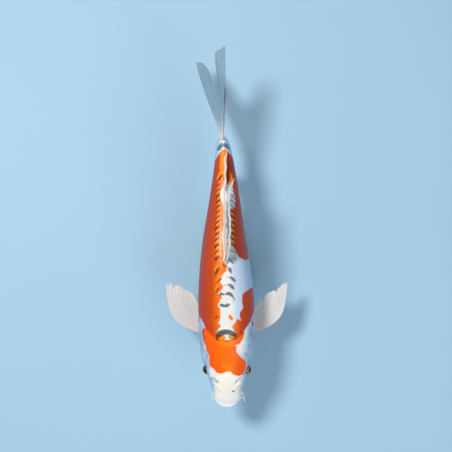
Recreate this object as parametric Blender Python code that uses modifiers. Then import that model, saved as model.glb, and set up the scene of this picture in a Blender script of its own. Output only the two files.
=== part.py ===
"""A life-size koi carp of the part-scaled kind, swimming, on a low display stand.

Metres, +Z up. The origin is the centre of the stand's underside. The snout points to -Y, the tail to +Y,
and +X is the fish's own left side. Places along the fish are distances behind the line of the lips, and
the upper lip reaches a little ahead of it.
"""

import math

import bmesh
import bpy
from mathutils import Matrix, Vector

# ---------------------------------------------------------------- driving dimensions

GAP = 0.0003  # clearance left between pieces that meet

SNOUT_Y = -0.160  # where the line of the lips stands, ahead of the stand's centre
AXIS_Z = 0.112  # height of the body's axis over the table
BODY_LENGTH = 0.378  # lips to the root of the tail fin
LIP_REACH = 0.003  # how far the upper lip stands ahead of the line of the lips
NOSE_ROUND = 0.018  # length over which the snout rounds off
STEM_ROUND = 0.018  # length over which the tail stem thins to the fin
STEM_END_SHARE = 0.42  # how thick the stem still is at its very end

BODY_SIDES = 32
BODY_RINGS = 42

# Each station: distance behind the line of the lips, half width, rise of the back over the widest level,
# drop of the belly under it, height of the widest level over the axis, and sideways place of the spine.
STATIONS = {
    "lips": (-0.003, 0.0170, 0.0080, 0.0095, -0.0105, 0.0016),
    "mouth": (0.009, 0.0194, 0.0140, 0.0125, -0.0095, 0.0016),
    "nostrils": (0.023, 0.0220, 0.0220, 0.0180, -0.0075, 0.0017),
    "cheek": (0.037, 0.0262, 0.0285, 0.0235, -0.0052, 0.0018),
    "eyes": (0.052, 0.0302, 0.0340, 0.0290, -0.0035, 0.0014),
    "temples": (0.066, 0.0347, 0.0388, 0.0340, -0.0020, 0.0011),
    "gill_edge": (0.092, 0.0388, 0.0460, 0.0415, -0.0005, 0.0011),
    "shoulder": (0.120, 0.0395, 0.0520, 0.0475, 0.0000, 0.0006),
    "back": (0.155, 0.0386, 0.0560, 0.0515, 0.0010, -0.0002),
    "dorsal_front": (0.190, 0.0358, 0.0570, 0.0520, 0.0010, -0.0011),
    "vent_side": (0.231, 0.0300, 0.0510, 0.0475, 0.0005, -0.0026),
    "dorsal_rear": (0.286, 0.0218, 0.0370, 0.0360, 0.0000, -0.0018),
    "stem": (0.330, 0.0150, 0.0275, 0.0265, 0.0000, -0.0022),
    "stem_low": (0.354, 0.0113, 0.0240, 0.0235, 0.0000, -0.0034),
    "tail_root": (0.378, 0.0062, 0.0235, 0.0235, 0.0000, -0.0052),
}
SECTION_POWER = 2.15  # 2 is an ellipse; a little more fills out the shoulders of the section

HEAD_END = 0.1035
DORSAL_FRONT = 0.195
DORSAL_REAR = 0.297
DORSAL_SPLIT = 0.74  # share of the dorsal fin in front of its split
DORSAL_LEAN = (4.5, 7.0, 7.0, 7.7, 8.3, 7.6, 7.6, 9.8, 14.8)  # millimetres to the left, at even places along it
LEAN_END = 0.315  # where the last of those places lies behind the lips
LEAN_CURVE = 0.7  # power of the lean from the root to the margin, at the front of the fin
LEAN_CURVE_GROWTH = 1.6  # how much greater that power is at the rear of the fin
REAR_LEAN = 0.0545  # of the rays behind the split, for each metre past the fin's root

EYE_RADIUS = 0.0080
EYE_AT = 0.0530
EYE_PROUD = 0.0032  # how far the eyeball stands out past the widest part of the cheek
EYE_RISE = 0.0095  # of its centre over the widest level

GILL_COVER_THICK = 0.0030
GILL_COVER_AT = 0.0915
GILL_COVER_DROP = 0.0020
GILL_COVER_LONG = 0.0300  # half axes of the cover, seen from the side
GILL_COVER_SHORT = 0.0240
GILL_COVER_TILT = math.radians(40)  # its long axis climbs towards the tail

JAW_LENGTH = 0.0300
MOUTH_LEVEL = -0.0125  # height of the mouth slit over the axis
JAW_SLOPE = math.radians(-7)

FIN_EDGE = 0.0010  # thickness of a fin at its margin
THINNING = 1.5  # power of the thinning from root to margin

BASE_LENGTH = 0.230
BASE_WIDTH = 0.072
BASE_THICK = 0.010
BASE_BEVEL = 0.0015
ROD_RADIUS = 0.0040
ROD_PLACES = (-0.050, 0.066)  # along Y

# ---------------------------------------------------------------- colours

COLOURS = {  # name: base colour, roughness, metallic
    "skin_white": ((0.86, 0.86, 0.84, 1.0), 0.35, 0.0),
    "skin_orange": ((0.88, 0.16, 0.02, 1.0), 0.35, 0.0),
    "fin_membrane": ((0.82, 0.81, 0.78, 1.0), 0.40, 0.0),
    "eye": ((0.02, 0.015, 0.015, 1.0), 0.10, 0.0),
    "stand_dark": ((0.05, 0.05, 0.055, 1.0), 0.40, 0.0),
    "stand_steel": ((0.55, 0.56, 0.58, 1.0), 0.30, 1.0),
}


def material(name):
    colour, roughness, metallic = COLOURS[name]
    made = bpy.data.materials.new(name)
    made.use_nodes = True
    shader = made.node_tree.nodes["Principled BSDF"]
    shader.inputs["Base Color"].default_value = colour
    shader.inputs["Roughness"].default_value = roughness
    shader.inputs["Metallic"].default_value = metallic
    made.diffuse_color = colour
    return made


# ---------------------------------------------------------------- scene and small helpers


def clear_scene():
    for old in list(bpy.data.objects):
        bpy.data.objects.remove(old)


def collection(name):
    made = bpy.data.collections.new(name)
    bpy.context.scene.collection.children.link(made)
    return made


def object_from(bm, name, where, finish=None):
    """Turns a bmesh into an object in a collection, shaded smooth but for its sharp edges."""
    mesh = bpy.data.meshes.new(name)
    bmesh.ops.recalc_face_normals(bm, faces=bm.faces)
    bm.to_mesh(mesh)
    bm.free()
    made = bpy.data.objects.new(name, mesh)
    where.objects.link(made)
    if finish:
        mesh.materials.append(finish)
    mesh.shade_smooth()
    mesh.set_sharp_from_angle(angle=math.radians(35))
    return made


def as_cutter(obj):
    obj.hide_render = True
    obj.display_type = "WIRE"
    return obj


def boolean(obj, other, operation):
    modifier = obj.modifiers.new(f"{operation.lower()}_{other.name}", "BOOLEAN")
    modifier.operation = operation
    modifier.solver = "EXACT"
    modifier.object = other


def smooth_through(points, at):
    """A smooth curve through rising (place, value) pairs, held at its end values outside them."""
    if at <= points[0][0]:
        return points[0][1]
    if at >= points[-1][0]:
        return points[-1][1]
    k = next(i for i in range(len(points) - 1) if at <= points[i + 1][0])

    def slope(i):
        low, high = max(i - 1, 0), min(i + 1, len(points) - 1)
        return (points[high][1] - points[low][1]) / (points[high][0] - points[low][0])

    span = points[k + 1][0] - points[k][0]
    t = (at - points[k][0]) / span
    rise = points[k + 1][1] - points[k][1]
    a = slope(k) * span - rise
    b = rise - slope(k + 1) * span
    return points[k][1] + t * rise + t * (1 - t) * ((1 - t) * a + t * b)


# ---------------------------------------------------------------- the body's form


def body_size(along, column):
    """One of the stations' sizes, read at a distance behind the lips."""
    rows = [(row[0], row[column]) for row in STATIONS.values()]
    return smooth_through(rows, along)


def nose_share(along):
    """0 at the very tip of the snout, rising to 1 as a quarter circle does."""
    left = 1 - min(max(along + LIP_REACH, 0.0) / NOSE_ROUND, 1.0)
    return math.sqrt(max(1 - left * left, 0.0))


def stem_share(along):
    """1 along the body, falling to STEM_END_SHARE where the stem thins into the tail fin."""
    past = max(along - (BODY_LENGTH - STEM_ROUND), 0.0) / STEM_ROUND
    return 1 - (1 - STEM_END_SHARE) * min(past, 1.0) ** 2


def power(value, exponent):
    return math.copysign(abs(value) ** exponent, value)


def body_point(along, turn, grow=0.0):
    """A point of the body's surface, offset outwards by grow. turn is 0 on the back, a quarter turn on the
    left side and half a turn on the belly."""
    inside = min(max(along, -LIP_REACH), BODY_LENGTH)
    nose = nose_share(inside)
    width = body_size(inside, 1) * nose * stem_share(inside) + grow
    back = body_size(inside, 2) * nose + grow
    belly = body_size(inside, 3) * nose + grow
    level = body_size(inside, 4)
    shape = 2 / SECTION_POWER
    x = width * power(math.sin(turn), shape)
    rise = power(math.cos(turn), shape)
    z = (back if rise > 0 else belly) * rise
    return Vector((body_size(inside, 5) + x, SNOUT_Y + along, AXIS_Z + level + z))


def body_mesh(grow=0.0):
    """The whole body: a ball drawn out along the fish, its poles at the snout and the tail root. Its rings
    lie closest at the head."""
    bm = bmesh.new()
    bmesh.ops.create_uvsphere(bm, u_segments=BODY_SIDES, v_segments=BODY_RINGS, radius=1.0)
    for vert in bm.verts:
        x, y, z = vert.co
        share = 1 - math.cos(math.acos(max(-1.0, min(1.0, z))) / 2)
        along = (BODY_LENGTH + LIP_REACH) * share - LIP_REACH + grow * (2 * share - 1)
        turn = math.atan2(x, y)
        if abs(z) > 0.99999:
            vert.co = Vector((body_size(along, 5), SNOUT_Y + along, AXIS_Z + body_size(along, 4)))
        else:
            vert.co = body_point(along, turn, grow)
    bmesh.ops.recalc_face_normals(bm, faces=bm.faces)
    return bm


def back_height(along):
    return body_point(along, 0.0).z


def belly_height(along):
    return body_point(along, math.pi).z


def cut_at(bm, along, keep_tail):
    """Cuts the body square across and closes the cut."""
    found = bmesh.ops.bisect_plane(
        bm,
        geom=bm.verts[:] + bm.edges[:] + bm.faces[:],
        plane_co=(0, SNOUT_Y + along, 0),
        plane_no=(0, 1, 0),
        clear_inner=keep_tail,
        clear_outer=not keep_tail,
    )
    rim = [item for item in found["geom_cut"] if isinstance(item, bmesh.types.BMEdge)]
    bmesh.ops.edgeloop_fill(bm, edges=rim)


def body_length(name, start, end, where, finish):
    """A length of the body between two thin cuts. None leaves that end uncut."""
    bm = body_mesh()
    if start is not None:
        cut_at(bm, start + GAP / 2, keep_tail=True)
    if end is not None:
        cut_at(bm, end - GAP / 2, keep_tail=False)
    return object_from(bm, name, where, finish)


# ---------------------------------------------------------------- the head


def eye_centre(side):
    cheek = body_point(EYE_AT, math.pi / 2).x - body_size(EYE_AT, 5)
    return Vector(
        (
            body_size(EYE_AT, 5) + side * (cheek + EYE_PROUD - EYE_RADIUS),
            SNOUT_Y + EYE_AT,
            AXIS_Z + body_size(EYE_AT, 4) + EYE_RISE,
        )
    )


def ball(name, radius, centre, where, finish=None):
    bm = bmesh.new()
    bmesh.ops.create_uvsphere(bm, u_segments=16, v_segments=10, radius=radius)
    bmesh.ops.rotate(bm, verts=bm.verts, matrix=Matrix.Rotation(math.pi / 2, 3, "Y"))
    made = object_from(bm, name, where, finish)
    made.location = centre
    return made


def gill_prism(side, grow, where):
    """An oval bar through one cheek, tilted as the gill cover is."""
    bm = bmesh.new()
    bmesh.ops.create_cone(bm, cap_ends=True, segments=26, radius1=1, radius2=1, depth=0.08)
    bmesh.ops.rotate(bm, verts=bm.verts, matrix=Matrix.Rotation(math.pi / 2, 3, "Y"))
    bmesh.ops.scale(bm, verts=bm.verts, vec=(1, GILL_COVER_LONG + grow, GILL_COVER_SHORT + grow))
    bmesh.ops.rotate(bm, verts=bm.verts, matrix=Matrix.Rotation(GILL_COVER_TILT, 3, "X"))
    name = "left" if side > 0 else "right"
    made = as_cutter(object_from(bm, f"gill_prism_{name}_{grow:.4f}", where))
    level = body_size(GILL_COVER_AT, 4) - GILL_COVER_DROP
    made.location = (side * 0.045, SNOUT_Y + GILL_COVER_AT, AXIS_Z + level)
    return made


def jaw_block(grow, where):
    """The wedge that parts the lower jaw from the head: a block under the sloping mouth slit."""
    bm = bmesh.new()
    bmesh.ops.create_cube(bm, size=1.0)
    length, width, height = 2 * JAW_LENGTH, 0.10, 0.06
    bmesh.ops.scale(bm, verts=bm.verts, vec=(width, length, height))
    bmesh.ops.translate(bm, verts=bm.verts, vec=(0, grow - length / 2, grow - height / 2))
    made = as_cutter(object_from(bm, f"jaw_block_{grow:.4f}", where))
    made.rotation_euler = (JAW_SLOPE, 0, 0)
    made.location = (0, SNOUT_Y + JAW_LENGTH, AXIS_Z + MOUTH_LEVEL)
    return made


def make_head(where, cutters, white, dark):
    """The head with its eyes, gill covers and lower jaw, each a piece of its own. It gives back the pockets
    that the gill covers lie in, because they reach back past the head."""
    head = body_length("head", None, HEAD_END, where, white)
    jaw = body_length("jaw_lower", None, HEAD_END, where, white)
    boolean(jaw, jaw_block(0.0, cutters), "INTERSECT")
    boolean(head, jaw_block(GAP, cutters), "DIFFERENCE")
    inner = as_cutter(object_from(body_mesh(-GILL_COVER_THICK), "inner_head", cutters))
    floor = as_cutter(object_from(body_mesh(-GILL_COVER_THICK - GAP), "inner_floor", cutters))
    pockets = []
    for side, name in ((1, "left"), (-1, "right")):
        cover = body_length(f"gill_cover_{name}", None, None, where, white)
        boolean(cover, gill_prism(side, 0.0, cutters), "INTERSECT")
        boolean(cover, inner, "DIFFERENCE")
        pocket = gill_prism(side, GAP, cutters)
        boolean(pocket, floor, "DIFFERENCE")
        boolean(head, pocket, "DIFFERENCE")
        pockets.append(pocket)
        ball(f"eye_{name}", EYE_RADIUS, eye_centre(side), where, dark)
        socket = as_cutter(ball(f"socket_{name}", EYE_RADIUS + GAP, eye_centre(side), cutters))
        boolean(head, socket, "DIFFERENCE")
    return pockets


# ---------------------------------------------------------------- fins


def bezier(start, out, back, end, t):
    """A cubic curve: it leaves start towards out and arrives at end from back."""
    a, b = (1 - t), t
    return start * a**3 + out * 3 * a * a * b + back * 3 * a * b * b + end * b**3


def along_points(points, share):
    """A smooth curve through evenly counted points."""
    at = share * (len(points) - 1)
    return Vector([smooth_through([(i, p[axis]) for i, p in enumerate(points)], at) for axis in range(3)])


def fish_point(x, along, z):
    """A point given from the fish's axis and the line of its lips."""
    return Vector((x, SNOUT_Y + along, AXIS_Z + z))


def fin(name, surface, rays, steps, root_thick, body, where, finish):
    """A fin from surface(across, out), both 0 to 1: across runs from the first ray to the last, out from the
    root to the margin. It thins towards the margin, and its root is cut to the body."""
    bm = bmesh.new()
    bmesh.ops.create_grid(bm, x_segments=rays, y_segments=steps, size=0.5)
    bm.verts.index_update()
    weights = []
    for vert in bm.verts:
        across, out = vert.co.x + 0.5, vert.co.y + 0.5
        vert.co = surface(across, out)
        weights.append((1 - out) ** THINNING)
    made = object_from(bm, name, where, finish)
    group = made.vertex_groups.new(name="root")
    for index, weight in enumerate(weights):
        group.add([index], weight, "REPLACE")
    thick = made.modifiers.new("thickness", "SOLIDIFY")
    thick.thickness = root_thick
    thick.offset = 0.0
    thick.vertex_group = "root"
    thick.thickness_vertex_group = FIN_EDGE / root_thick
    boolean(made, body, "DIFFERENCE")
    return made


def pectoral_surface(side):
    """The paired fins behind the gills, spread out and swept back. The right one is opened wider."""
    front_root = Vector((0.026, 0.0945, -0.027))
    rear_root = Vector((0.026, 0.1165, -0.033))
    margin = {
        1: [
            Vector((0.0865, 0.1715, -0.033)),
            Vector((0.0735, 0.1625, -0.034)),
            Vector((0.0595, 0.1545, -0.035)),
            Vector((0.0500, 0.1450, -0.035)),
            Vector((0.0370, 0.1300, -0.034)),
        ],
        -1: [
            Vector((0.0865, 0.1715, -0.033)),
            Vector((0.0725, 0.1675, -0.034)),
            Vector((0.0570, 0.1605, -0.035)),
            Vector((0.0450, 0.1520, -0.035)),
            Vector((0.0365, 0.1385, -0.034)),
        ],
    }[side]
    first_way = Vector((0.95, 0.30, -0.06))
    last_way = Vector((0.72, 0.68, -0.16))
    sweep = Vector((0.10, 0.98, -0.02))

    def surface(across, out):
        root = front_root.lerp(rear_root, across)
        tip = along_points(margin, across)
        reach = (tip - root).length
        way = first_way.lerp(last_way, across)
        p = bezier(root, root + way * reach * 0.62, tip - sweep * reach * 0.50 * (1 - across * 0.6), tip, out)
        return fish_point(side * p.x + 0.0008, p.y, p.z)

    return surface


def pelvic_surface(side):
    """The smaller paired fins under the belly."""
    front_root = Vector((0.011, 0.168, -0.044))
    rear_root = Vector((0.008, 0.184, -0.044))
    margin = [
        Vector((0.0270, 0.2180, -0.070)),
        Vector((0.0215, 0.2170, -0.069)),
        Vector((0.0150, 0.2110, -0.065)),
        Vector((0.0100, 0.2020, -0.060)),
    ]

    def surface(across, out):
        root = front_root.lerp(rear_root, across)
        tip = along_points(margin, across)
        bend = Vector((0.35, 0.30, -0.45)) * (tip - root).length * 0.5
        p = bezier(root, root + bend, tip - Vector((0.1, 0.9, -0.3)) * 0.012, tip, out)
        return fish_point(side * p.x - 0.0008, p.y, p.z)

    return surface


def dorsal_surface(across, out):
    """The long fin of the back, half folded. It is split near its end: the tall front part leans over to the
    left, most at its trailing tip, and the last rays trail straight back over the stem."""
    foot = DORSAL_FRONT + (DORSAL_REAR - DORSAL_FRONT) * across
    spine = body_size(foot, 5)
    root = Vector((spine, foot, back_height(foot) - AXIS_Z - 0.004))
    tips = [
        Vector((0, 0.2270, 0.0850)),
        Vector((0, 0.2520, 0.0840)),
        Vector((0, 0.2740, 0.0800)),
        Vector((0, 0.2930, 0.0740)),
        Vector((0, 0.3060, 0.0675)),
        Vector((0, 0.3130, 0.0590)),
        Vector((0, 0.3020, 0.0420)),
        Vector((0, 0.3370, 0.0450)),
        Vector((0, 0.3520, 0.0400)),
    ]
    tip = along_points(tips, across)
    tip.x = spine
    reach = (tip - root).length
    out_way = Vector((0.0, 0.70, 0.72))
    back_way = Vector((0.0, 0.95, 0.15))
    p = bezier(root, root + out_way * reach * 0.35, tip - back_way * reach * 0.35, tip, out)
    if across < DORSAL_SPLIT:
        place = (p.y - DORSAL_FRONT) / (LEAN_END - DORSAL_FRONT) * (len(DORSAL_LEAN) - 1)
        power = LEAN_CURVE + LEAN_CURVE_GROWTH * across
        lean = smooth_through(list(enumerate(DORSAL_LEAN)), place) * 0.001 * out**power
    else:
        lean = REAR_LEAN * max(p.y - DORSAL_REAR, 0.0)
    p.x += lean
    return fish_point(*p)


def anal_surface(across, out):
    """The short fin under the stem."""
    foot = 0.286 + 0.030 * across
    root = Vector((body_size(foot, 5), foot, belly_height(foot) - AXIS_Z + 0.004))
    tips = [
        Vector((-0.0040, 0.3290, -0.0710)),
        Vector((-0.0030, 0.3330, -0.0610)),
        Vector((-0.0030, 0.3330, -0.0480)),
        Vector((-0.0030, 0.3360, -0.0370)),
    ]
    tip = along_points(tips, across)
    bend = Vector((0.0, 0.35, -0.75)) * (tip - root).length * 0.4
    p = bezier(root, root + bend, tip - Vector((0.0, 0.8, -0.3)) * 0.008, tip, out)
    return fish_point(*p)


def caudal_surface(across, out):
    """The forked tail fin: across runs from the upper lobe to the lower, which swings to the right."""
    spine = body_size(BODY_LENGTH, 5)
    root = Vector((spine, 0.367, 0.0240 - 0.048 * across))
    tips = [
        Vector((-0.0020, 0.4890, 0.0640)),
        Vector((-0.0142, 0.4800, 0.0500)),
        Vector((-0.0125, 0.4655, 0.0300)),
        Vector((-0.0117, 0.4515, 0.0088)),
        Vector((-0.0185, 0.4512, -0.0070)),
        Vector((-0.0244, 0.4678, -0.0240)),
        Vector((-0.0320, 0.4808, -0.0420)),
        Vector((-0.0430, 0.4855, -0.0580)),
    ]
    tip = along_points(tips, across)
    reach = (tip - root).length
    fan = (0.5 - across) * 2
    out_way = Vector((0.22 * fan, 0.93, 0.42 * fan))
    back_way = (tip - root).normalized().lerp(Vector((-0.02, 1.0, 0.10 * fan)), 0.5)
    p = bezier(root, root + out_way * reach * 0.30, tip - back_way * reach * 0.30, tip, out)
    return fish_point(*p)


def make_fins(body, where, finish):
    fin("fin_dorsal", dorsal_surface, 24, 4, 0.0034, body, where, finish)
    fin("fin_anal", anal_surface, 7, 4, 0.0028, body, where, finish)
    fin("fin_tail", caudal_surface, 22, 6, 0.0050, body, where, finish)
    for side, name in ((1, "left"), (-1, "right")):
        fin(f"fin_pectoral_{name}", pectoral_surface(side), 13, 6, 0.0044, body, where, finish)
        fin(f"fin_pelvic_{name}", pelvic_surface(side), 8, 4, 0.0030, body, where, finish)


# ---------------------------------------------------------------- barbels


def barbel(name, points, root_radius, body, where, finish):
    """A fleshy feeler: a tube along a smooth curve, thinning to its tip, cut to the lip it grows from."""
    count = 9
    curve = bpy.data.curves.new(name, "CURVE")
    curve.dimensions = "3D"
    curve.bevel_depth = root_radius
    curve.bevel_resolution = 2
    curve.use_fill_caps = True
    spline = curve.splines.new("POLY")
    spline.points.add(count - 1)
    for i, knot in enumerate(spline.points):
        share = i / (count - 1)
        knot.co = (*along_points(points, share), 1.0)
        knot.radius = 1 - 0.62 * share
    guide = bpy.data.objects.new(name + "_guide", curve)
    where.objects.link(guide)
    graph = bpy.context.evaluated_depsgraph_get()
    mesh = bpy.data.meshes.new_from_object(guide.evaluated_get(graph))
    bpy.data.objects.remove(guide)
    bm = bmesh.new()
    bm.from_mesh(mesh)
    bmesh.ops.remove_doubles(bm, verts=bm.verts, dist=1e-6)
    made = object_from(bm, name, where, finish)
    boolean(made, body, "DIFFERENCE")
    return made


# the long barbels, from the corner of the mouth to the tip: the left one trails out, the right one bends in
LONG_WAY_LEFT = (
    (0.0165, 0.0200, -0.0130),
    (0.0212, 0.0165, -0.0150),
    (0.0236, 0.0098, -0.0190),
    (0.0253, 0.0020, -0.0235),
)
LONG_WAY_RIGHT = (
    (0.0165, 0.0200, -0.0130),
    (0.0191, 0.0175, -0.0150),
    (0.0217, 0.0115, -0.0190),
    (0.0206, 0.0045, -0.0235),
)


def make_barbels(body, where, finish):
    """Two pairs: a long one at each corner of the mouth, and a short one above it on the lip."""
    for side, name in ((1, "left"), (-1, "right")):
        middle = body_size(0.0, 5)
        out = 1.0 if side > 0 else 0.86
        way = LONG_WAY_LEFT if side > 0 else LONG_WAY_RIGHT
        long_way = [fish_point(middle + side * x, along, z) for x, along, z in way]
        short_way = [
            fish_point(middle + side * 0.0130, 0.0125, -0.0070),
            fish_point(middle + side * 0.0195 * out, 0.0110, -0.0078),
            fish_point(middle + side * 0.0228 * out, 0.0085, -0.0105),
        ]
        barbel(f"barbel_long_{name}", long_way, 0.0013, body, where, finish)
        barbel(f"barbel_short_{name}", short_way, 0.0009, body, where, finish)


# ---------------------------------------------------------------- stand


def make_stand(body, where, dark, steel):
    """A flat oval base under the belly, and two rods up to it."""
    bm = bmesh.new()
    bmesh.ops.create_cone(bm, cap_ends=True, segments=36, radius1=1, radius2=1, depth=BASE_THICK)
    bmesh.ops.scale(bm, verts=bm.verts, vec=(BASE_WIDTH / 2, BASE_LENGTH / 2, 1))
    base = object_from(bm, "stand_base", where, dark)
    base.location = (0, 0, BASE_THICK / 2)
    bevel = base.modifiers.new("worn_edge", "BEVEL")
    bevel.width = BASE_BEVEL
    bevel.segments = 1
    for name, y in zip(("front", "rear"), ROD_PLACES):
        foot = BASE_THICK + GAP
        top = belly_height(y - SNOUT_Y) + 0.004
        bm = bmesh.new()
        bmesh.ops.create_cone(
            bm, cap_ends=True, segments=20, radius1=ROD_RADIUS, radius2=ROD_RADIUS, depth=top - foot
        )
        rod = object_from(bm, f"stand_rod_{name}", where, steel)
        rod.location = (body_size(y - SNOUT_Y, 5), y, (top + foot) / 2)
        boolean(rod, body, "DIFFERENCE")


# ---------------------------------------------------------------- all of it


def main():
    clear_scene()
    parts = collection("koi_carp")
    cutters = collection("cutters")
    finish = {name: material(name) for name in COLOURS}
    clearance = as_cutter(object_from(body_mesh(GAP), "body_clearance", cutters))
    pockets = make_head(parts, cutters, finish["skin_white"], finish["eye"])
    shoulders = body_length("trunk_front", HEAD_END, DORSAL_FRONT, parts, finish["skin_orange"])
    for pocket in pockets:
        boolean(shoulders, pocket, "DIFFERENCE")
    body_length("trunk_rear", DORSAL_FRONT, DORSAL_REAR, parts, finish["skin_orange"])
    body_length("tail_stem", DORSAL_REAR, None, parts, finish["skin_orange"])
    make_fins(clearance, parts, finish["fin_membrane"])
    make_barbels(clearance, parts, finish["skin_white"])
    make_stand(clearance, parts, finish["stand_dark"], finish["stand_steel"])


main()
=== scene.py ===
# %% [markdown]
# # A koi carp, life size
#
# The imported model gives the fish's solids: a head, a trunk in lengths, thin fins and a stand. They have the
# right size and stand in the right place, but they are plain and faceted. This lesson dresses them. One
# smooth skin takes the place of all the pieces of flesh, scales are laid on it as thin plates, and the fins
# get their rays. Every finish is made from nodes, with no pictures.

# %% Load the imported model
import math
import random

import bmesh
import bpy
import numpy as np
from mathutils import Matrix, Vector


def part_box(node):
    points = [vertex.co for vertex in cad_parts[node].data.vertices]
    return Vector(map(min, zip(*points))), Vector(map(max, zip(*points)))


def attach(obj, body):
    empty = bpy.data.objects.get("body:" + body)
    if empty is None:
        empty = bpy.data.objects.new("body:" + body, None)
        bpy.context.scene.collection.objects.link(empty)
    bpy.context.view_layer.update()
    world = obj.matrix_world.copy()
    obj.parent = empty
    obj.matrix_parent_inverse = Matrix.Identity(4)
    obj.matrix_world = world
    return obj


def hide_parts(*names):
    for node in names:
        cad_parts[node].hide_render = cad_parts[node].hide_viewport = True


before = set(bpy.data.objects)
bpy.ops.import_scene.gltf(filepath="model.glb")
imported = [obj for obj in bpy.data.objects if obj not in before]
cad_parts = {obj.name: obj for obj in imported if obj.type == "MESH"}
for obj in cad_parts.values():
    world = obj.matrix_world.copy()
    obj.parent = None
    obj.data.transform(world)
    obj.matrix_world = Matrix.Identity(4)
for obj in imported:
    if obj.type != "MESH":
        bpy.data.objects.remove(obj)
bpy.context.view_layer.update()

chance = random.Random(11)
print("nodes in the frame:", len(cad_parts))

# %% [markdown]
# ## The view, the light and the floor
#
# The fish is seen from straight above, head down. A long lens keeps its shape true. One large soft lamp
# stands high on the fish's right and tail side, as low sun would, and a cool weaker one fills the shadow.
# The floor is plain and pale, so that the colours of the fish are easy to judge.

# %% Camera
AXIS_Z = 0.112  # height of the body's axis over the table
CAMERA_RISE = 1.5  # over that axis
VIEW_WIDTH = 0.626  # of the picture, at the height of the axis
VIEW_CENTRE_Y = 0.0903


def linked(name, data, place=(0.0, 0.0, 0.0)):
    """A new object, put in the scene."""
    made = bpy.data.objects.new(name, data)
    made.location = place
    bpy.context.scene.collection.objects.link(made)
    return made


camera = bpy.data.cameras.new("view_from_above")
camera.sensor_width = 36.0
camera.lens = camera.sensor_width * CAMERA_RISE / VIEW_WIDTH
bpy.context.scene.camera = linked("view_from_above", camera, (0.0, VIEW_CENTRE_Y, AXIS_Z + CAMERA_RISE))
print("lens:", round(camera.lens, 2), "mm")

# %% Lamps, world and view transform
MIDDLE = Vector((0.0, 0.08, AXIS_Z))


def area_lamp(name, place, size, power, colour):
    """A round lamp turned to the middle of the fish."""
    lamp = bpy.data.lights.new(name, "AREA")
    lamp.shape = "DISK"
    lamp.size = size
    lamp.energy = power
    lamp.color = colour
    way = MIDDLE - Vector(place)
    linked(name, lamp, place).rotation_euler = way.to_track_quat("-Z", "Y").to_euler()
    print(name, "stands", round(way.length, 2), "m away")


area_lamp("key_lamp", (-0.66, 0.56, 1.78), 0.40, 27.0, (1.0, 0.965, 0.91))
area_lamp("fill_lamp", (0.8, -1.1, 1.5), 1.2, 12.0, (0.90, 0.95, 1.0))

world = bpy.data.worlds.new("studio_air")
world.use_nodes = True
air = world.node_tree.nodes["Background"].inputs
air["Color"].default_value = (0.86, 0.92, 1.0, 1.0)
air["Strength"].default_value = 0.36
bpy.context.scene.world = world
bpy.context.scene.view_settings.view_transform = "Standard"

# %% [markdown]
# ## A small kit for materials
#
# A finish is a tree of nodes. Adding nodes one by one makes long code, so this class keeps a tree and gives
# a short method for each kind of node that the fish needs. Each method returns the new node's output, which
# goes straight into the next call.


# %% Node kit
class Finish:
    """A Principled material under construction."""

    def __init__(self, name, **sockets):
        self.material = bpy.data.materials.new(name)
        self.material.use_nodes = True
        self.tree = self.material.node_tree
        self.fill(**sockets)

    def fill(self, **sockets):
        """Fills the shader's sockets, named with _ for each space, and gives back the material."""
        for name, value in sockets.items():
            self.put(self.tree.nodes["Principled BSDF"].inputs[name.replace("_", " ")], value)
        return self.material

    def put(self, socket, value):
        """Links an output to a socket, or sets it when the value is a plain number or colour."""
        if isinstance(value, bpy.types.NodeSocket):
            self.tree.links.new(value, socket)
        elif isinstance(value, tuple):
            socket.default_value = (*value, 1.0)[: len(socket.default_value)]
        else:
            socket.default_value = value

    def node(self, kind, sockets=None, **settings):
        made = self.tree.nodes.new("ShaderNode" + kind)
        for key, value in settings.items():
            setattr(made, key, value)
        for key, value in (sockets or {}).items():
            self.put(made.inputs[key], value)
        return made

    def attribute(self, name):
        return self.node("Attribute", attribute_name=name).outputs["Fac"]

    def vector(self, operation, other):
        """The place in metres, times or along another vector."""
        here = self.node("TexCoord").outputs["Object"]
        return self.node("VectorMath", {0: here, 1: other}, operation=operation).outputs

    def noise(self, scale, detail=3.0, roughness=0.5, stretch=(1.0, 1.0, 1.0)):
        place = self.vector("MULTIPLY", stretch)["Vector"]
        sockets = {"Vector": place, "Scale": scale, "Detail": detail, "Roughness": roughness}
        return self.node("TexNoise", sockets).outputs["Fac"]

    def maths(self, operation, a, b=0.0):
        return self.node("Math", {0: a, 1: b}, operation=operation).outputs[0]

    def plus(self, a, b):
        return self.maths("ADD", a, b)

    def times(self, a, b):
        return self.maths("MULTIPLY", a, b)

    def swing(self, noise, amount):
        """Noise that swings evenly about 0."""
        return self.times(self.plus(noise, -0.5), amount)

    def between(self, value, low, high, start=0.0, end=1.0):
        """start below low, end above high, and a smooth step between them."""
        sockets = {"Value": value, "From Min": low, "From Max": high, "To Min": start, "To Max": end}
        return self.node("MapRange", sockets, interpolation_type="SMOOTHSTEP").outputs["Result"]

    def blend(self, share, a, b):
        """Colour a where share is 0, and b where it is 1."""
        return self.node("Mix", {"Factor": share, 6: a, 7: b}, data_type="RGBA").outputs[2]

    def layers(self, colour, *coats):
        """Lays tones over a colour one by one. Each coat is its share and its tone."""
        for share, tone in coats:
            colour = self.blend(share, colour, tone)
        return colour

    def bump(self, height, distance, strength=1.0, under=None):
        sockets = {"Height": height, "Distance": distance, "Strength": strength}
        if under is not None:
            sockets["Normal"] = under
        return self.node("Bump", sockets).outputs["Normal"]


# %% Floor
def mesh_of(bm, name):
    mesh = bpy.data.meshes.new(name)
    bm.to_mesh(mesh)
    bm.free()
    return mesh


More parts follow.
